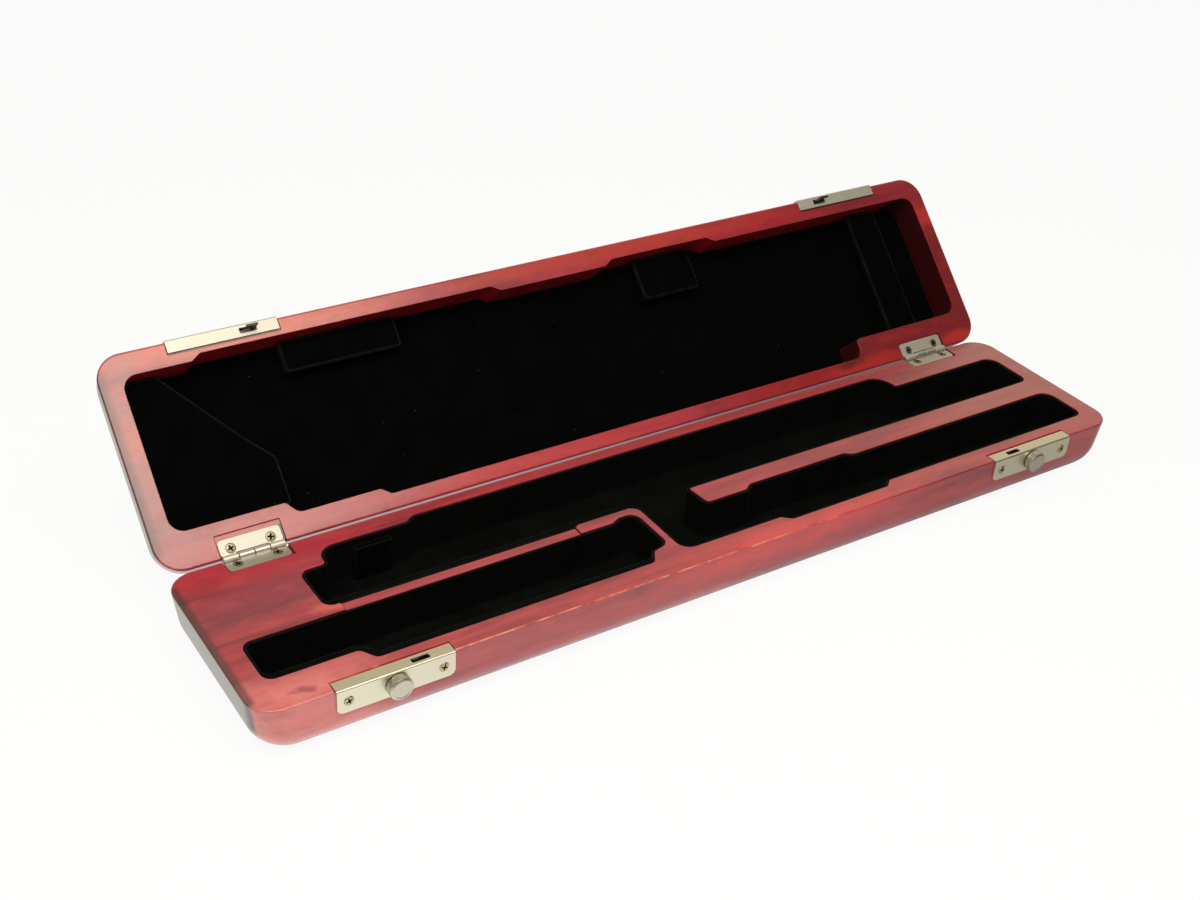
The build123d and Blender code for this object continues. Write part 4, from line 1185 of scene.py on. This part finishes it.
class BaseWood:
    """The carved base and the slat let in between two of its bays."""

    form = ShellForm(rim=RIM, face=0.0, draft=6.3)
    plan = BayPlan()
    bay_floor = 5.0
    pocket = (-14.6, 14.4)           # latch pocket along X about the plate's middle
    pocket_depth = 3.7
    pocket_bottom = 8.4
    slat_drop = 0.5
    slat_joint = 0.15
    slat_arris = 0.4
    arris = 0.3

    def build(self, finishes: Finishes) -> None:
        """Build the shell and the slat."""
        plan, floor, above = self.plan, self.bay_floor, RIM + 1
        left, right = from_left(plan.slat_left), from_left(plan.slat_right)
        tools = [
            Workpiece("long_bay_tool").prism(plan.long_bay(), floor, above),
            Workpiece("foot_bay_tool").prism(plan.foot_bay(), floor, above),
            Workpiece("slat_slot_tool").block(
                (left, right), (from_front(plan.divider_front - 1), from_front(plan.slat_back + 1)),
                (floor, above)),
            *FlangeRebate().cutters(RIM, 1),
            *HingeMortise().cutters(RIM, 1, HingeMortise.gap),
            *(Workpiece("latch_pocket_tool").block(
                side.span(PLATE_MIDDLE + edge for edge in self.pocket),
                (FRONT - 1, FRONT + self.pocket_depth),
                (RIM - self.pocket_bottom, RIM - SHEET / 2)) for side in Side),
        ]
        shell = self.form.make("base_carved_shell").combine(Boolean.CUT, *tools).ease(self.arris)
        shell.finish(finishes.base_wood, Slot.BASE_WOOD, Body.BASE, ["base_shell"])
        slat = Workpiece("divider_slat_wood").block(
            (left + self.slat_joint, right - self.slat_joint),
            (from_front(plan.divider_front), from_front(plan.slat_back)),
            (floor, RIM - self.slat_drop))
        slat.ease(self.slat_arris).finish(
            finishes.slat_wood, Slot.SLAT_WOOD, Body.BASE, ["divider_slat"])


class LidWood:
    """The carved lid."""

    form = ShellForm(rim=LID_RIM, face=LID_RIM + 20.0, draft=5.8, rim_ease=1.0)
    plan = LidBayPlan()
    bay_roof = LID_RIM + 17.5
    left_ledge = 2.2
    hook_base = (8.2, 3.2)           # recess behind the strike's flange, along X and Y
    hook_place = (12.5, 1.9)         # its middle from the plate's middle and the front face
    arris = 0.3

    def build(self, finishes: Finishes) -> None:
        """Build the lid's shell."""
        below = LID_RIM - 1
        tools = [
            Workpiece("lid_bay_tool").prism(self.plan.bay(), below, self.bay_roof),
            *FlangeRebate().cutters(LID_RIM, -1),
            *HingeMortise().cutters(LID_RIM, -1, self.left_ledge),
        ]
        long, deep = (size / 2 for size in self.hook_base)
        y = FRONT + self.hook_place[1]
        for side in Side:
            middle = side.mirrored(PLATE_MIDDLE + self.hook_place[0])
            tools.append(Workpiece("hook_recess_tool").block(
                (middle - long, middle + long), (y - deep, y + deep),
                (below, LID_RIM + 2 * SHEET)))
        shell = self.form.make("lid_carved_shell").combine(Boolean.CUT, *tools).ease(self.arris)
        shell.finish(finishes.lid_wood, Slot.LID_WOOD, Body.LID, ["lid_shell"])


# ---------------------------------------------------------------- velvet
@dataclass(frozen=True)
class Lining:
    """A velvet-covered tray that follows a bay."""

    name: str
    node_name: str
    bay: Outline
    shoulders: int = 3               # how many of the outline's first edges have the thick wall
    wall: float = 1.2
    shoulder: float = 3.4
    glue_line: float = 0.1
    bottom: float = 5.0
    floor: float = 6.0
    top: float = RIM - 0.3
    roll: float = 0.5                # round at the lip
    cove: float = 1.2                # round where the walls meet the floor
    round_steps: int = 4

    def build(self, finishes: Finishes) -> None:
        """Build the tray with rolled lips and a coved floor."""
        count = len(self.bay.corners)
        walls = [self.shoulder] * self.shoulders + [self.wall] * (count - self.shoulders)
        outer = [self.glue_line] * count
        rings = [self.bay.inset(outer).ring(z) for z in (self.bottom, self.top - self.roll)]
        arc = quarter(self.round_steps)
        for edges, inward, level, upward, angles in (
                (outer, self.roll, self.top, -self.roll, arc[1:]),
                (walls, -self.roll, self.top, -self.roll, arc[::-1]),
                (walls, self.cove, self.floor, self.cove, arc)):
            for a in angles:
                moved = self.bay.inset([edge + inward * (1 - math.cos(a)) for edge in edges])
                rings.append(moved.ring(level + upward * (1 - math.sin(a))))
        piece = Workpiece(self.name).stack(rings).mark_folds()
        piece.finish(finishes.lightened_lining_velvet, Slot.VELVET, Body.BASE, [self.node_name],
                     smooth_below=60.0)


@dataclass(frozen=True)
class Pad:
    """A foam pad covered in velvet, glued to a board."""

    name: str
    node_name: str
    plan: Outline
    back: float                      # height of the glued face
    front: float                     # height of the free face
    body: Body
    crown: float = 0.35              # how far the free face swells in its middle
    edge: float = 1.1                # round of the free edges
    edge_steps: int = 5
    waist: float = 0.15              # how far the sides draw in
    shoulder_inset: float = 0.05     # where the sides meet the round
    swell: float = 4.0               # from the rounded edge in to the full crown

    def build(self, finishes: Finishes) -> None:
        """Build the pad as rings that round over to a crowned face."""
        out = math.copysign(1, self.front - self.back)
        depth = abs(self.front - self.back)
        shoulder = depth - self.crown - self.edge
        rest = self.shoulder_inset
        profile = [(share * shoulder, inset) for share, inset in (
            (0.0, 0.0), (0.35, self.waist), (0.7, self.waist), (1.0, rest))]
        profile += [(shoulder + self.edge * math.sin(a), rest + self.edge * (1 - math.cos(a)))
                    for a in quarter(self.edge_steps)[1:]]
        profile += [(depth - self.crown * (1 - share) ** 2, rest + self.edge + self.swell * share)
                    for share in (0.35, 0.7, 1.0)]
        rings = [self.plan.evenly_inset(inset).ring(self.back + out * height)
                 for height, inset in profile]
        piece = Workpiece(self.name).stack(rings).mark_folds(flat=9.5)
        made = piece.finish(finishes.velvet, Slot.VELVET, self.body, [self.node_name],
                            smooth_below=75.0)


class BaseVelvet:
    """The two linings of the base and the small rests that stand in them."""

    plan = BayPlan()
    floor = 6.0
    block_left = 72.6
    block_length = 16.6
    block_depth = 3.0
    block_drop = 3.0
    block_round = 1.2
    rest_width = 4.5
    rest_crest = 0.8
    rest_drop = 4.0
    rest_arris = 0.3
    wall = 1.2

    def build(self, finishes: Finishes) -> None:
        """Build the linings and rests."""
        plan = self.plan
        Lining("body_and_head_lining", "base_lining_long", plan.long_bay()).build(finishes)
        Lining("foot_lining", "base_lining_foot", plan.foot_bay()).build(finishes)
        back = from_back(plan.tenon_rail) - self.wall
        block = rectangle(
            (from_left(self.block_left), from_left(self.block_left + self.block_length)),
            (back - self.block_depth, back), self.block_round)
        Pad("key_rest_velvet", "key_rest_block", block, self.floor, RIM - self.block_drop,
            Body.BASE, crown=0.1, edge=0.5, waist=0.0, swell=0.5).build(finishes)
        wall, crest = from_front(plan.lip_recess_rail) + self.wall, RIM - self.rest_drop
        slope = ((wall, self.floor), (wall + self.rest_width, self.floor),
                 (wall + self.rest_crest, crest), (wall, crest))
        ends = (from_left(plan.lip_left + plan.step), from_left(plan.lip_right - plan.step))
        rest = Workpiece("lip_plate_rest_velvet").extrusion(slope, ends).ease(self.rest_arris)
        rest.finish(finishes.velvet, Slot.VELVET, Body.BASE, ["lip_plate_rest"])


class LidVelvet:
    """The lid's velvet panel and its four pads."""

    plan = LidBayPlan()
    panel_face = LID_RIM + 15.5
    panel_thickness = 2.0
    panel_gap = 0.1
    pad_thickness = 7.5
    clear = 0.3
    crown_lengths = (15.2, 40.1, 51.0)     # of the end pad at its front, knee and nose
    crown_depths = (41.1, 53.0)            # front edge to the knee and to the nose
    foot_pad = (75.5, 52.0, 21.0)          # left edge, length, reach from the front edge
    lip_pad = (249.0, 30.5, 27.0)
    socket_pad = (17.5, 26.5)              # length, and right end to its outer face

    def build(self, finishes: Finishes) -> None:
        """Build the panel and pads."""
        plan, face = self.plan, self.panel_face
        soft, bay, end = plan.step_round, plan.bay_round, plan.end_round
        panel = Workpiece("lid_velvet_panel").prism(
            plan.bay().evenly_inset(self.panel_gap), face, face + self.panel_thickness)
        panel.finish(finishes.velvet, Slot.VELVET, Body.LID, ["lid_panel"])
        left = from_left(plan.end_wall_left) + self.clear
        front = from_front(plan.front_rail) + self.clear
        back = from_back(plan.hinge_rail_left) - self.clear
        at_front, at_knee, at_nose = (
            from_left(plan.end_wall_left + length) for length in self.crown_lengths)
        knee, nose = (from_front(depth) for depth in self.crown_depths)
        pads = {"crown": outline(
            (left, front, end), (at_front, front, soft), (at_knee, knee, bay),
            (at_nose, nose, bay), (at_nose, back, soft), (left, back, end))}
        keys_front = from_front(plan.keys_rail) + self.clear
        for name, (start, length, reach) in (("foot", self.foot_pad), ("lip", self.lip_pad)):
            pads[name] = rectangle((from_left(start), from_left(start + length)),
                                   (keys_front, from_front(reach)), soft)
        length, outer = self.socket_pad
        pads["socket"] = rectangle(
            (from_right(outer + length), from_right(outer)),
            (front, from_back(plan.hinge_rail_right) - self.clear), soft)
        for name, pad in pads.items():
            Pad(f"{name}_pad_velvet", f"lid_pad_{name}", pad, face, face - self.pad_thickness,
                Body.LID).build(finishes)


# ---------------------------------------------------------------- metalwork
@dataclass(frozen=True)
class WoodScrew:
    """Head of a crosshead wood screw, countersunk with a low dome."""

    radius: float
    dome: float
    cross_length: float
    cross_width: float
    cross_depth: float = 0.6
    cone_depth: float = 1.0
    cone_tip: float = 0.95
    edge: float = 0.1                # height of the head's edge above its cone
    rounding: float = 0.04
    clearance: float = 0.14
    dome_steps: int = 5
    first_turn: int = 24             # degrees that the first cross is turned
    next_turn: int = 37              # degrees from each cross to the next

    def sink(self, face: Vector, inward: Vector) -> Workpiece:
        """A tool that countersinks a plate for this screw."""
        wide = self.radius + self.clearance
        profile = ((-1.0, wide), (0.0, wide), (self.cone_depth, self.cone_tip + self.clearance))
        return Workpiece("countersink_tool").turned(profile, face, inward)

    def heads(self, name: str, faces: Sequence[Vector], inward: Vector) -> Workpiece:
        """Turn a group of heads and cut their crosses, each turned another way.

        Args:
            name: the piece's name.
            faces: the middle of each head on its plate's face.
            inward: the screws' direction.

        Returns:
            The heads as one piece.
        """
        profile = [(-self.dome * math.cos(a), self.radius * math.sin(a))
                   for a in quarter(self.dome_steps)[1:]]
        profile += [(self.edge, self.radius), (self.cone_depth, self.cone_tip)]
        made = Workpiece(name)
        for face in faces:
            made.turned(profile, face, inward)
        across = inward.orthogonal().normalized()
        sizes = (self.cross_length, self.cross_width, 2 * self.cross_depth)
        for quarter_turn in (0, 90):
            cross = Workpiece("cross_tool")
            for i, face in enumerate(faces):
                angle = math.radians(self.first_turn + self.next_turn * i + quarter_turn)
                long = Matrix.Rotation(angle, 3, inward) @ across
                cross.bar(face, (long, inward.cross(long), inward), sizes)
            made.combine(Boolean.CUT, cross)
        return made.ease(self.rounding, 1)


@dataclass(frozen=True)
class CornerPlate:
    """A pressed plate folded over a front edge: a flange on the rim, a leg on the front face."""

    rim: float
    facing: int                      # +1 on the base's rim, -1 on the lid's
    leg: float                       # rim to the leg's free end
    bend: float = 0.75               # outer radius of the fold
    bend_steps: int = 6
    inner_bend: float = 0.15         # the fold's inner side is cut off by this
    corner: float = 2.6
    screw_offset: float = 18.6       # plate middle to screw
    slot_offset: float = 10.4        # plate middle to the hook's slot
    slot_length: float = 7.2
    slot_front: float = 0.9
    slot_width: float = 2.2
    slot_corner: float = 0.5
    rounding: float = 0.13

    screw = WoodScrew(radius=1.85, dome=0.42, cross_length=2.5, cross_width=0.6)

    def level(self, depth: float) -> float:
        """Height of a distance from the rim into its shell."""
        return self.rim - self.facing * depth

    def section(self) -> list[Span]:
        """The folded sheet from its end, as (y, z) points."""
        middle, inner = -SHEET + self.bend, self.inner_bend
        fold = [(middle - self.bend * math.cos(a), self.bend - self.bend * math.sin(a))
                for a in quarter(self.bend_steps)]
        points = [(-SHEET, self.leg), *fold, (FLANGE, 0.0), (FLANGE, SHEET),
                  (inner, SHEET), (0.0, SHEET + inner), (0.0, self.leg)]
        return [(FRONT + y, self.level(depth)) for y, depth in points]

    def front_prism(self, x_span: Span, depth_span: Span, radius: float) -> Workpiece:
        """A prism through the front leg, drawn as a rectangle with equal rounds."""
        points = rectangle(x_span, depth_span, radius).points()
        return Workpiece("leg_tool").stack([[Vector((p.x, y, self.level(p.y))) for p in points]
                                            for y in (FRONT - 3 * SHEET, FRONT + 2 * FLANGE)])

    def screw_faces(self) -> list[Vector]:
        """Middles of the four screws' heads, two at each end of the case."""
        y, z = FRONT - SHEET, self.level(SCREW_DROP)
        return [Vector((side.mirrored(PLATE_MIDDLE + offset), y, z))
                for side in Side for offset in (-self.screw_offset, self.screw_offset)]

    def make(self, name: str, side: Side) -> Workpiece:
        """Fold one plate and cut its slot and screw holes.

        Args:
            name: the piece's name.
            side: which end of the case it is on.

        Returns:
            The plate before its edges are eased.
        """
        middle = side.mirrored(PLATE_MIDDLE)
        ends = (middle - PLATE_LENGTH / 2, middle + PLATE_LENGTH / 2)
        made = Workpiece(name).extrusion(self.section(), ends)
        made.combine(Boolean.TRIM, self.front_prism(ends, (-self.leg, self.leg), self.corner))
        half, front = self.slot_length / 2, FRONT + self.slot_front
        slot_x = side.span(PLATE_MIDDLE + self.slot_offset + edge for edge in (-half, half))
        slot = Workpiece("slot_tool").prism(
            rectangle(slot_x, (front, front + self.slot_width), self.slot_corner),
            self.rim - 2 * SHEET, self.rim + 2 * SHEET)
        sinks = [self.screw.sink(face, INWARD) for face in self.screw_faces()
                 if face.x * middle > 0]
        return made.combine(Boolean.CUT, slot, *sinks)


@dataclass(frozen=True)
class SlideKnob:
    """The turned knob that works one latch."""

    radius: float = 4.7
    thickness: float = 3.8
    gap: float = 0.3
    stem: float = 1.3
    stem_end: float = 0.2            # front face to the stem's shoulder behind the plate
    rivet: float = 0.8
    rivet_end: float = 1.2           # front face to the riveted end behind the slide
    chamfer: float = 0.7
    back_ease: float = 0.3
    dish: float = 0.2                # the face is turned this far under its raised edge
    sides: int = 64

    def make(self, name: str, side: Side) -> Workpiece:
        """Turn the knob with a bevelled edge, a faintly dished face and its riveted stem."""
        front = -(SHEET + self.gap + self.thickness)
        back = -(SHEET + self.gap)
        inner = self.radius - self.chamfer
        ease = self.back_ease
        face = [(front + self.dish, 0.4), (front + self.dish, inner - 0.62),
                (front + 0.3 * self.dish, inner - 0.45)]
        edge = [(front, inner - 0.25), (front + 0.04, inner - 0.05), (front + 0.14, inner + 0.14),
                (front + self.chamfer * 0.85, self.radius - 0.06),
                (front + self.chamfer * 1.15, self.radius)]
        rear = [(back - ease, self.radius), (back - ease * 0.3, self.radius - ease * 0.3),
                (back, self.radius - ease), (back, self.stem)]
        stem = [(self.stem_end, self.stem), (self.stem_end, self.rivet),
                (self.rivet_end, self.rivet)]
        foot = Vector((side.mirrored(PLATE_MIDDLE), FRONT, RIM - SCREW_DROP))
        return Workpiece(name).turned([*face, *edge, *rear, *stem], foot, INWARD, self.sides)


@dataclass(frozen=True)
class ButtHinge:
    """A small butt hinge: two leaves whose knuckles curl round one pin."""

    thickness: float = 0.8
    sink: float = 0.1
    corner: float = 1.6
    crisp: float = 0.05
    knuckle: float = 1.6
    knuckle_count: int = 4
    knuckle_gap: float = 0.36
    knuckle_sides: int = 36
    relief: float = 0.3
    screw_inset: float = 4.6
    screw_from_back: float = 3.6
    rounding: float = 0.12

    screw = WoodScrew(radius=1.95, dome=0.14, cross_length=2.6, cross_width=0.65)

    def leaf_face(self, body: Body) -> float:
        """Height of the face that a body's leaf shows when the case is open."""
        return RIM - self.sink if body is Body.BASE else LID_RIM + self.sink

    def into_wood(self, body: Body) -> Vector:
        """Direction from a leaf's shown face into the wood."""
        return -UPWARD if body is Body.BASE else UPWARD

    def screw_faces(self, body: Body) -> list[Vector]:
        """Middles of a body's four hinge screws."""
        offset = LEAF_WIDTH / 2 - self.screw_inset
        y, z = BACK - self.screw_from_back, self.leaf_face(body)
        return [Vector((side.mirrored(HINGE_MIDDLE + edge), y, z))
                for side in Side for edge in (-offset, offset)]

    def make(self, name: str, side: Side, body: Body) -> Workpiece:
        """Build one leaf with its two knuckles.

        Args:
            name: the piece's name.
            side: which end of the case it is on.
            body: the base or the lid.

        Returns:
            The leaf before its edges are eased.
        """
        middle = side.mirrored(HINGE_MIDDLE)
        left, right = middle - LEAF_WIDTH / 2, middle - LEAF_WIDTH / 2 + LEAF_WIDTH
        into, face = self.into_wood(body), self.leaf_face(body)
        relief = HINGE_AXIS.y - self.knuckle - self.relief
        edge, worn = BACK - LEAF_REACH, self.rounding
        plan = outline((left, edge, self.corner), (right, edge, self.corner),
                       (right, relief, self.crisp), (left, relief, self.crisp))
        made = Workpiece(name).stack([
            plan.evenly_inset(inset).ring(face + into.z * depth) for depth, inset in (
                (self.thickness, 0.0), (worn, 0.0), (0.3 * worn, 0.3 * worn), (0.0, worn))])
        pitch = LEAF_WIDTH / self.knuckle_count
        length = pitch - self.knuckle_gap
        profile = ((0.0, self.knuckle - worn), (worn, self.knuckle),
                   (length - worn, self.knuckle), (length, self.knuckle - worn))
        for i in (1, 2) if body is Body.BASE else (0, 3):
            start = left + i * pitch + self.knuckle_gap / 2
            foot = Vector((start, HINGE_AXIS.y, HINGE_AXIS.z))
            barrel = Workpiece("knuckle").turned(profile, foot, ALONG, self.knuckle_sides)
            web = Workpiece("web").block(
                (start + worn, start + length - worn), (relief - self.relief, HINGE_AXIS.y),
                (face, face + into.z * self.thickness))
            made.combine(Boolean.FUSE, barrel, web)
        sinks = [self.screw.sink(place, into) for place in self.screw_faces(body)
                 if place.x * middle > 0]
        return made.combine(Boolean.CUT, *sinks)


class Metalwork:
    """Hinges, latches, strikes and screws, and the finish of the small parts behind them."""

    hinge = ButtHinge()
    latch = CornerPlate(rim=RIM, facing=1, leg=10.4)
    strike = CornerPlate(rim=LID_RIM, facing=-1, leg=9.0)
    knob = SlideKnob()
    stem_slot = (2.8, 1.4)           # the knob's travel and the half height of its slot
    slot_flat = 0.05                 # the slot's ends are this much short of a half circle
    hidden = ("hinge_pin", "latch_spring", "latch_slide", "strike_hook")

    def build(self, finishes: Finishes) -> None:
        """Build the visible metalwork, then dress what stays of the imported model."""
        for side in Side:
            self.build_side(finishes, side)
        hinge = self.hinge
        for body, plate, replaced in ((Body.BASE, self.latch, "latch_screws"),
                                      (Body.LID, self.strike, "strike_screws")):
            heads = plate.screw.heads(f"{replaced}_turned", plate.screw_faces(), INWARD)
            heads.finish(finishes.screw, Slot.STEEL, body, [replaced])
            replaced = f"hinge_{body.value}_screws"
            heads = hinge.screw.heads(f"{replaced}_turned", hinge.screw_faces(body),
                                      hinge.into_wood(body))
            heads.finish(finishes.hinge_screw, Slot.STEEL, body, [replaced])
        for name, piece in frame["nodes"].items():
            if name.startswith(self.hidden):
                for slot in piece.material_slots:
                    slot.material = finishes.hook if "hook" in name else finishes.steel
                LOG.info("%s dressed", name)

    def build_side(self, finishes: Finishes, side: Side) -> None:
        """Build one end's hinge leaves, latch plate, strike and knob."""
        tag = side.name.lower()
        for body, plating in ((Body.BASE, finishes.hinge_nickel),
                              (Body.LID, finishes.rough_nickel)):
            leaf = self.hinge.make(f"hinge_leaf_{body.value}_{tag}_pressed", side, body)
            leaf.finish(plating, Slot.NICKEL, body, [f"hinge_{body.value}_leaf_{tag}"])
        plate = self.latch.make(f"latch_plate_{tag}_folded", side)
        travel, half = self.stem_slot
        slot = self.latch.front_prism(
            side.span(PLATE_MIDDLE + edge for edge in (-travel - half, half)),
            (SCREW_DROP - half, SCREW_DROP + half), half - self.slot_flat)
        plate.combine(Boolean.CUT, slot).ease(self.latch.rounding)
        plate.finish(finishes.nickel, Slot.NICKEL, Body.BASE, [f"latch_plate_{tag}"])
        strike = self.strike.make(f"strike_plate_{tag}_folded", side).ease(self.strike.rounding)
        strike.finish(finishes.rough_nickel, Slot.NICKEL, Body.LID, [f"strike_plate_{tag}"])
        knob = self.knob.make(f"latch_knob_{tag}_turned", side)
        knob.finish(finishes.knob, Slot.NICKEL, Body(f"slide_{tag}"), [f"latch_knob_{tag}"],
                    smooth_below=28.0)


# ---------------------------------------------------------------- studio
@dataclass(frozen=True)
class Softbox:
    """One rectangular studio lamp."""

    name: str
    place: Point
    aim: Point
    size: Span
    power: float
    colour: str

    def build(self) -> None:
        """Hang the lamp."""
        data = bpy.data.lights.new(self.name, "AREA")
        data.shape = "RECTANGLE"
        data.size, data.size_y = self.size
        data.energy = self.power
        data.color = linear(self.colour)[:3]
        lamp = bpy.data.objects.new(self.name, data)
        lamp.location = self.place
        toward = Vector(self.aim) - Vector(self.place)
        lamp.rotation_euler = toward.to_track_quat("-Z", "Y").to_euler()
        bpy.context.scene.collection.objects.link(lamp)


@dataclass(frozen=True)
class Glow:
    """A soft bright patch on the studio's walls."""

    toward: Point
    strength: float
    focus: float


@dataclass(frozen=True)
class Studio:
    """White sweep, soft lamp and the camera."""

    camera_place: Point = (-352.05, -435.90, 393.65)    # mm
    azimuth: float = 35.04
    elevation: float = 32.23
    roll: float = 4.03
    lens: float = 48.26
    sensor: float = 36.0
    floor_size: float = 6.0          # metres from the floor's middle to its edge
    grain_scale: float = 900.0
    floor_lift: float = 0.93         # share of plain white in what the camera sees of the floor
    floor_shine: float = 0.62        # share of the bounced glow in the floor's reflections
    shine: Span = (1.25, 0.34)       # that glow left and right of the case
    shine_span: Span = (-0.16, 0.12)           # where it falls, in metres
    left_end_shine: float = 0.66     # how much of it is left beyond the case's left end
    left_end_span: Span = (-0.235, -0.21)      # where it falls there
    wall: float = 0.10               # strength of the room's walls in light and reflections
    wall_colour: str = "#fff1d8"     # their warm tint; the camera itself sees white
    glows: tuple[Glow, ...] = (
        Glow((0.70, 0.62, 0.35), 0.75, 4.0),
        Glow((-0.1, 0.9, 0.4), 0.30, 3.0),
        Glow((-0.9, 0.1, 0.3), 0.30, 2.0),
    )
    lamp: Softbox = Softbox("softbox_overhead", (-0.20, -0.26, 0.62), (-0.17, -0.18, 0.0),
                            (0.76, 0.42), 5.2, "#fff8e8")

    def build(self) -> None:
        """Build the whole studio."""
        self.build_world()
        self.build_floor()
        self.lamp.build()
        self.build_camera()
        bpy.context.scene.view_settings.view_transform = "Standard"

    def build_world(self) -> None:
        """Walls that are white to the camera and uneven in light and reflections."""
        world = bpy.data.worlds.new("studio")
        world.use_nodes = True
        graph = Graph(world.node_tree)
        direction = graph.add("TexCoord", out="Generated")
        light = self.wall
        for glow in self.glows:
            toward = Vector(glow.toward).normalized()[:]
            facing = graph.add("VectorMath", direction, toward, out="Value",
                               operation="DOT_PRODUCT")
            lobe = graph.add("Math", facing, 0.0, operation="MAXIMUM")
            lobe = graph.add("Math", lobe, glow.focus, operation="POWER")
            light = graph.add("Math", lobe, glow.strength, light, operation="MULTIPLY_ADD")
        seen = graph.add("LightPath", out="Is Camera Ray")
        strength = graph.add("Math", seen, light, operation="MAXIMUM")
        tint = graph.add("Mix", out=2, data_type="RGBA", named={
            0: seen, 6: linear(self.wall_colour), 7: linear("#ffffff")})
        graph.add("OutputWorld", graph.add("Background", tint, strength))
        bpy.context.scene.world = world

    def build_floor(self) -> None:
        """A white sweep that keeps the case's shadow."""
        form = bmesh.new()
        bmesh.ops.create_grid(form, x_segments=2, y_segments=2, size=self.floor_size)
        mesh = bpy.data.meshes.new("floor")
        form.to_mesh(mesh)
        form.free()
        floor = bpy.data.objects.new("floor", mesh)
        bpy.context.scene.collection.objects.link(floor)
        material, graph = blank_material("paper_sweep_matt_white")
        path = graph.add("LightPath").node.outputs
        seen, mirrored = path["Is Camera Ray"], path["Is Glossy Ray"]
        grain = graph.add("TexNoise", named={"Scale": self.grain_scale, "Detail": 2.0})
        tone = stops_laid(graph.add("ValToRGB", grain), ((0.0, "#f4f4f3"), (1.0, "#fafafa")))
        across = graph.add("SeparateXYZ", graph.add("TexCoord", out="Object"), out="X")
        # painted light: seen in reflections the floor glows, stronger left of the case than right
        # and dimmer beyond its left end
        around = graph.add("MapRange", across, *self.shine_span, *self.shine)
        left_end = graph.add("MapRange", across, *self.left_end_span, self.left_end_shine, 1.0)
        bounced = graph.add("Math", around, left_end, operation="MULTIPLY")
        strength = graph.add("Math", mirrored, bounced, seen, operation="MULTIPLY_ADD")
        shine = graph.add("Math", mirrored, self.floor_shine, operation="MULTIPLY")
        lift = graph.add("Math", seen, self.floor_lift, shine, operation="MULTIPLY_ADD")
        paper = graph.add("BsdfDiffuse", tone)
        glow = graph.add("Emission", linear("#ffffff"), strength)
        graph.add("OutputMaterial", graph.add("MixShader", lift, paper, glow))
        mesh.materials.append(material)

    def build_camera(self) -> None:
        """The camera, turned as the photograph was taken."""
        azimuth, elevation, roll = (
            math.radians(a) for a in (self.azimuth, self.elevation, self.roll))
        ahead = math.cos(elevation)
        view = Vector((math.sin(azimuth) * ahead, math.cos(azimuth) * ahead, -math.sin(elevation)))
        level = view.cross(UPWARD).normalized()
        upright = level.cross(view)
        right = level * math.cos(roll) + upright * math.sin(roll)
        up = upright * math.cos(roll) - level * math.sin(roll)
        data = bpy.data.cameras.new("camera")
        data.lens = self.lens
        data.sensor_width = self.sensor
        data.sensor_fit = "HORIZONTAL"
        data.clip_start = 0.01
        camera = bpy.data.objects.new("camera", data)
        turn = Matrix((right, up, -view)).transposed().to_4x4()
        camera.matrix_world = Matrix.Translation(Vector(self.camera_place) * MM) @ turn
        bpy.context.scene.collection.objects.link(camera)
        bpy.context.scene.camera = camera


def main() -> None:
    """Build every piece."""
    logging.basicConfig(level=logging.INFO, format="%(name)s: %(message)s")
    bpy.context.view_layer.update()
    Studio().build()
    finishes = Finishes()
    for assembly in (BaseWood(), LidWood(), BaseVelvet(), LidVelvet(), Metalwork()):
        assembly.build(finishes)


if __name__ == "__main__":
    main()
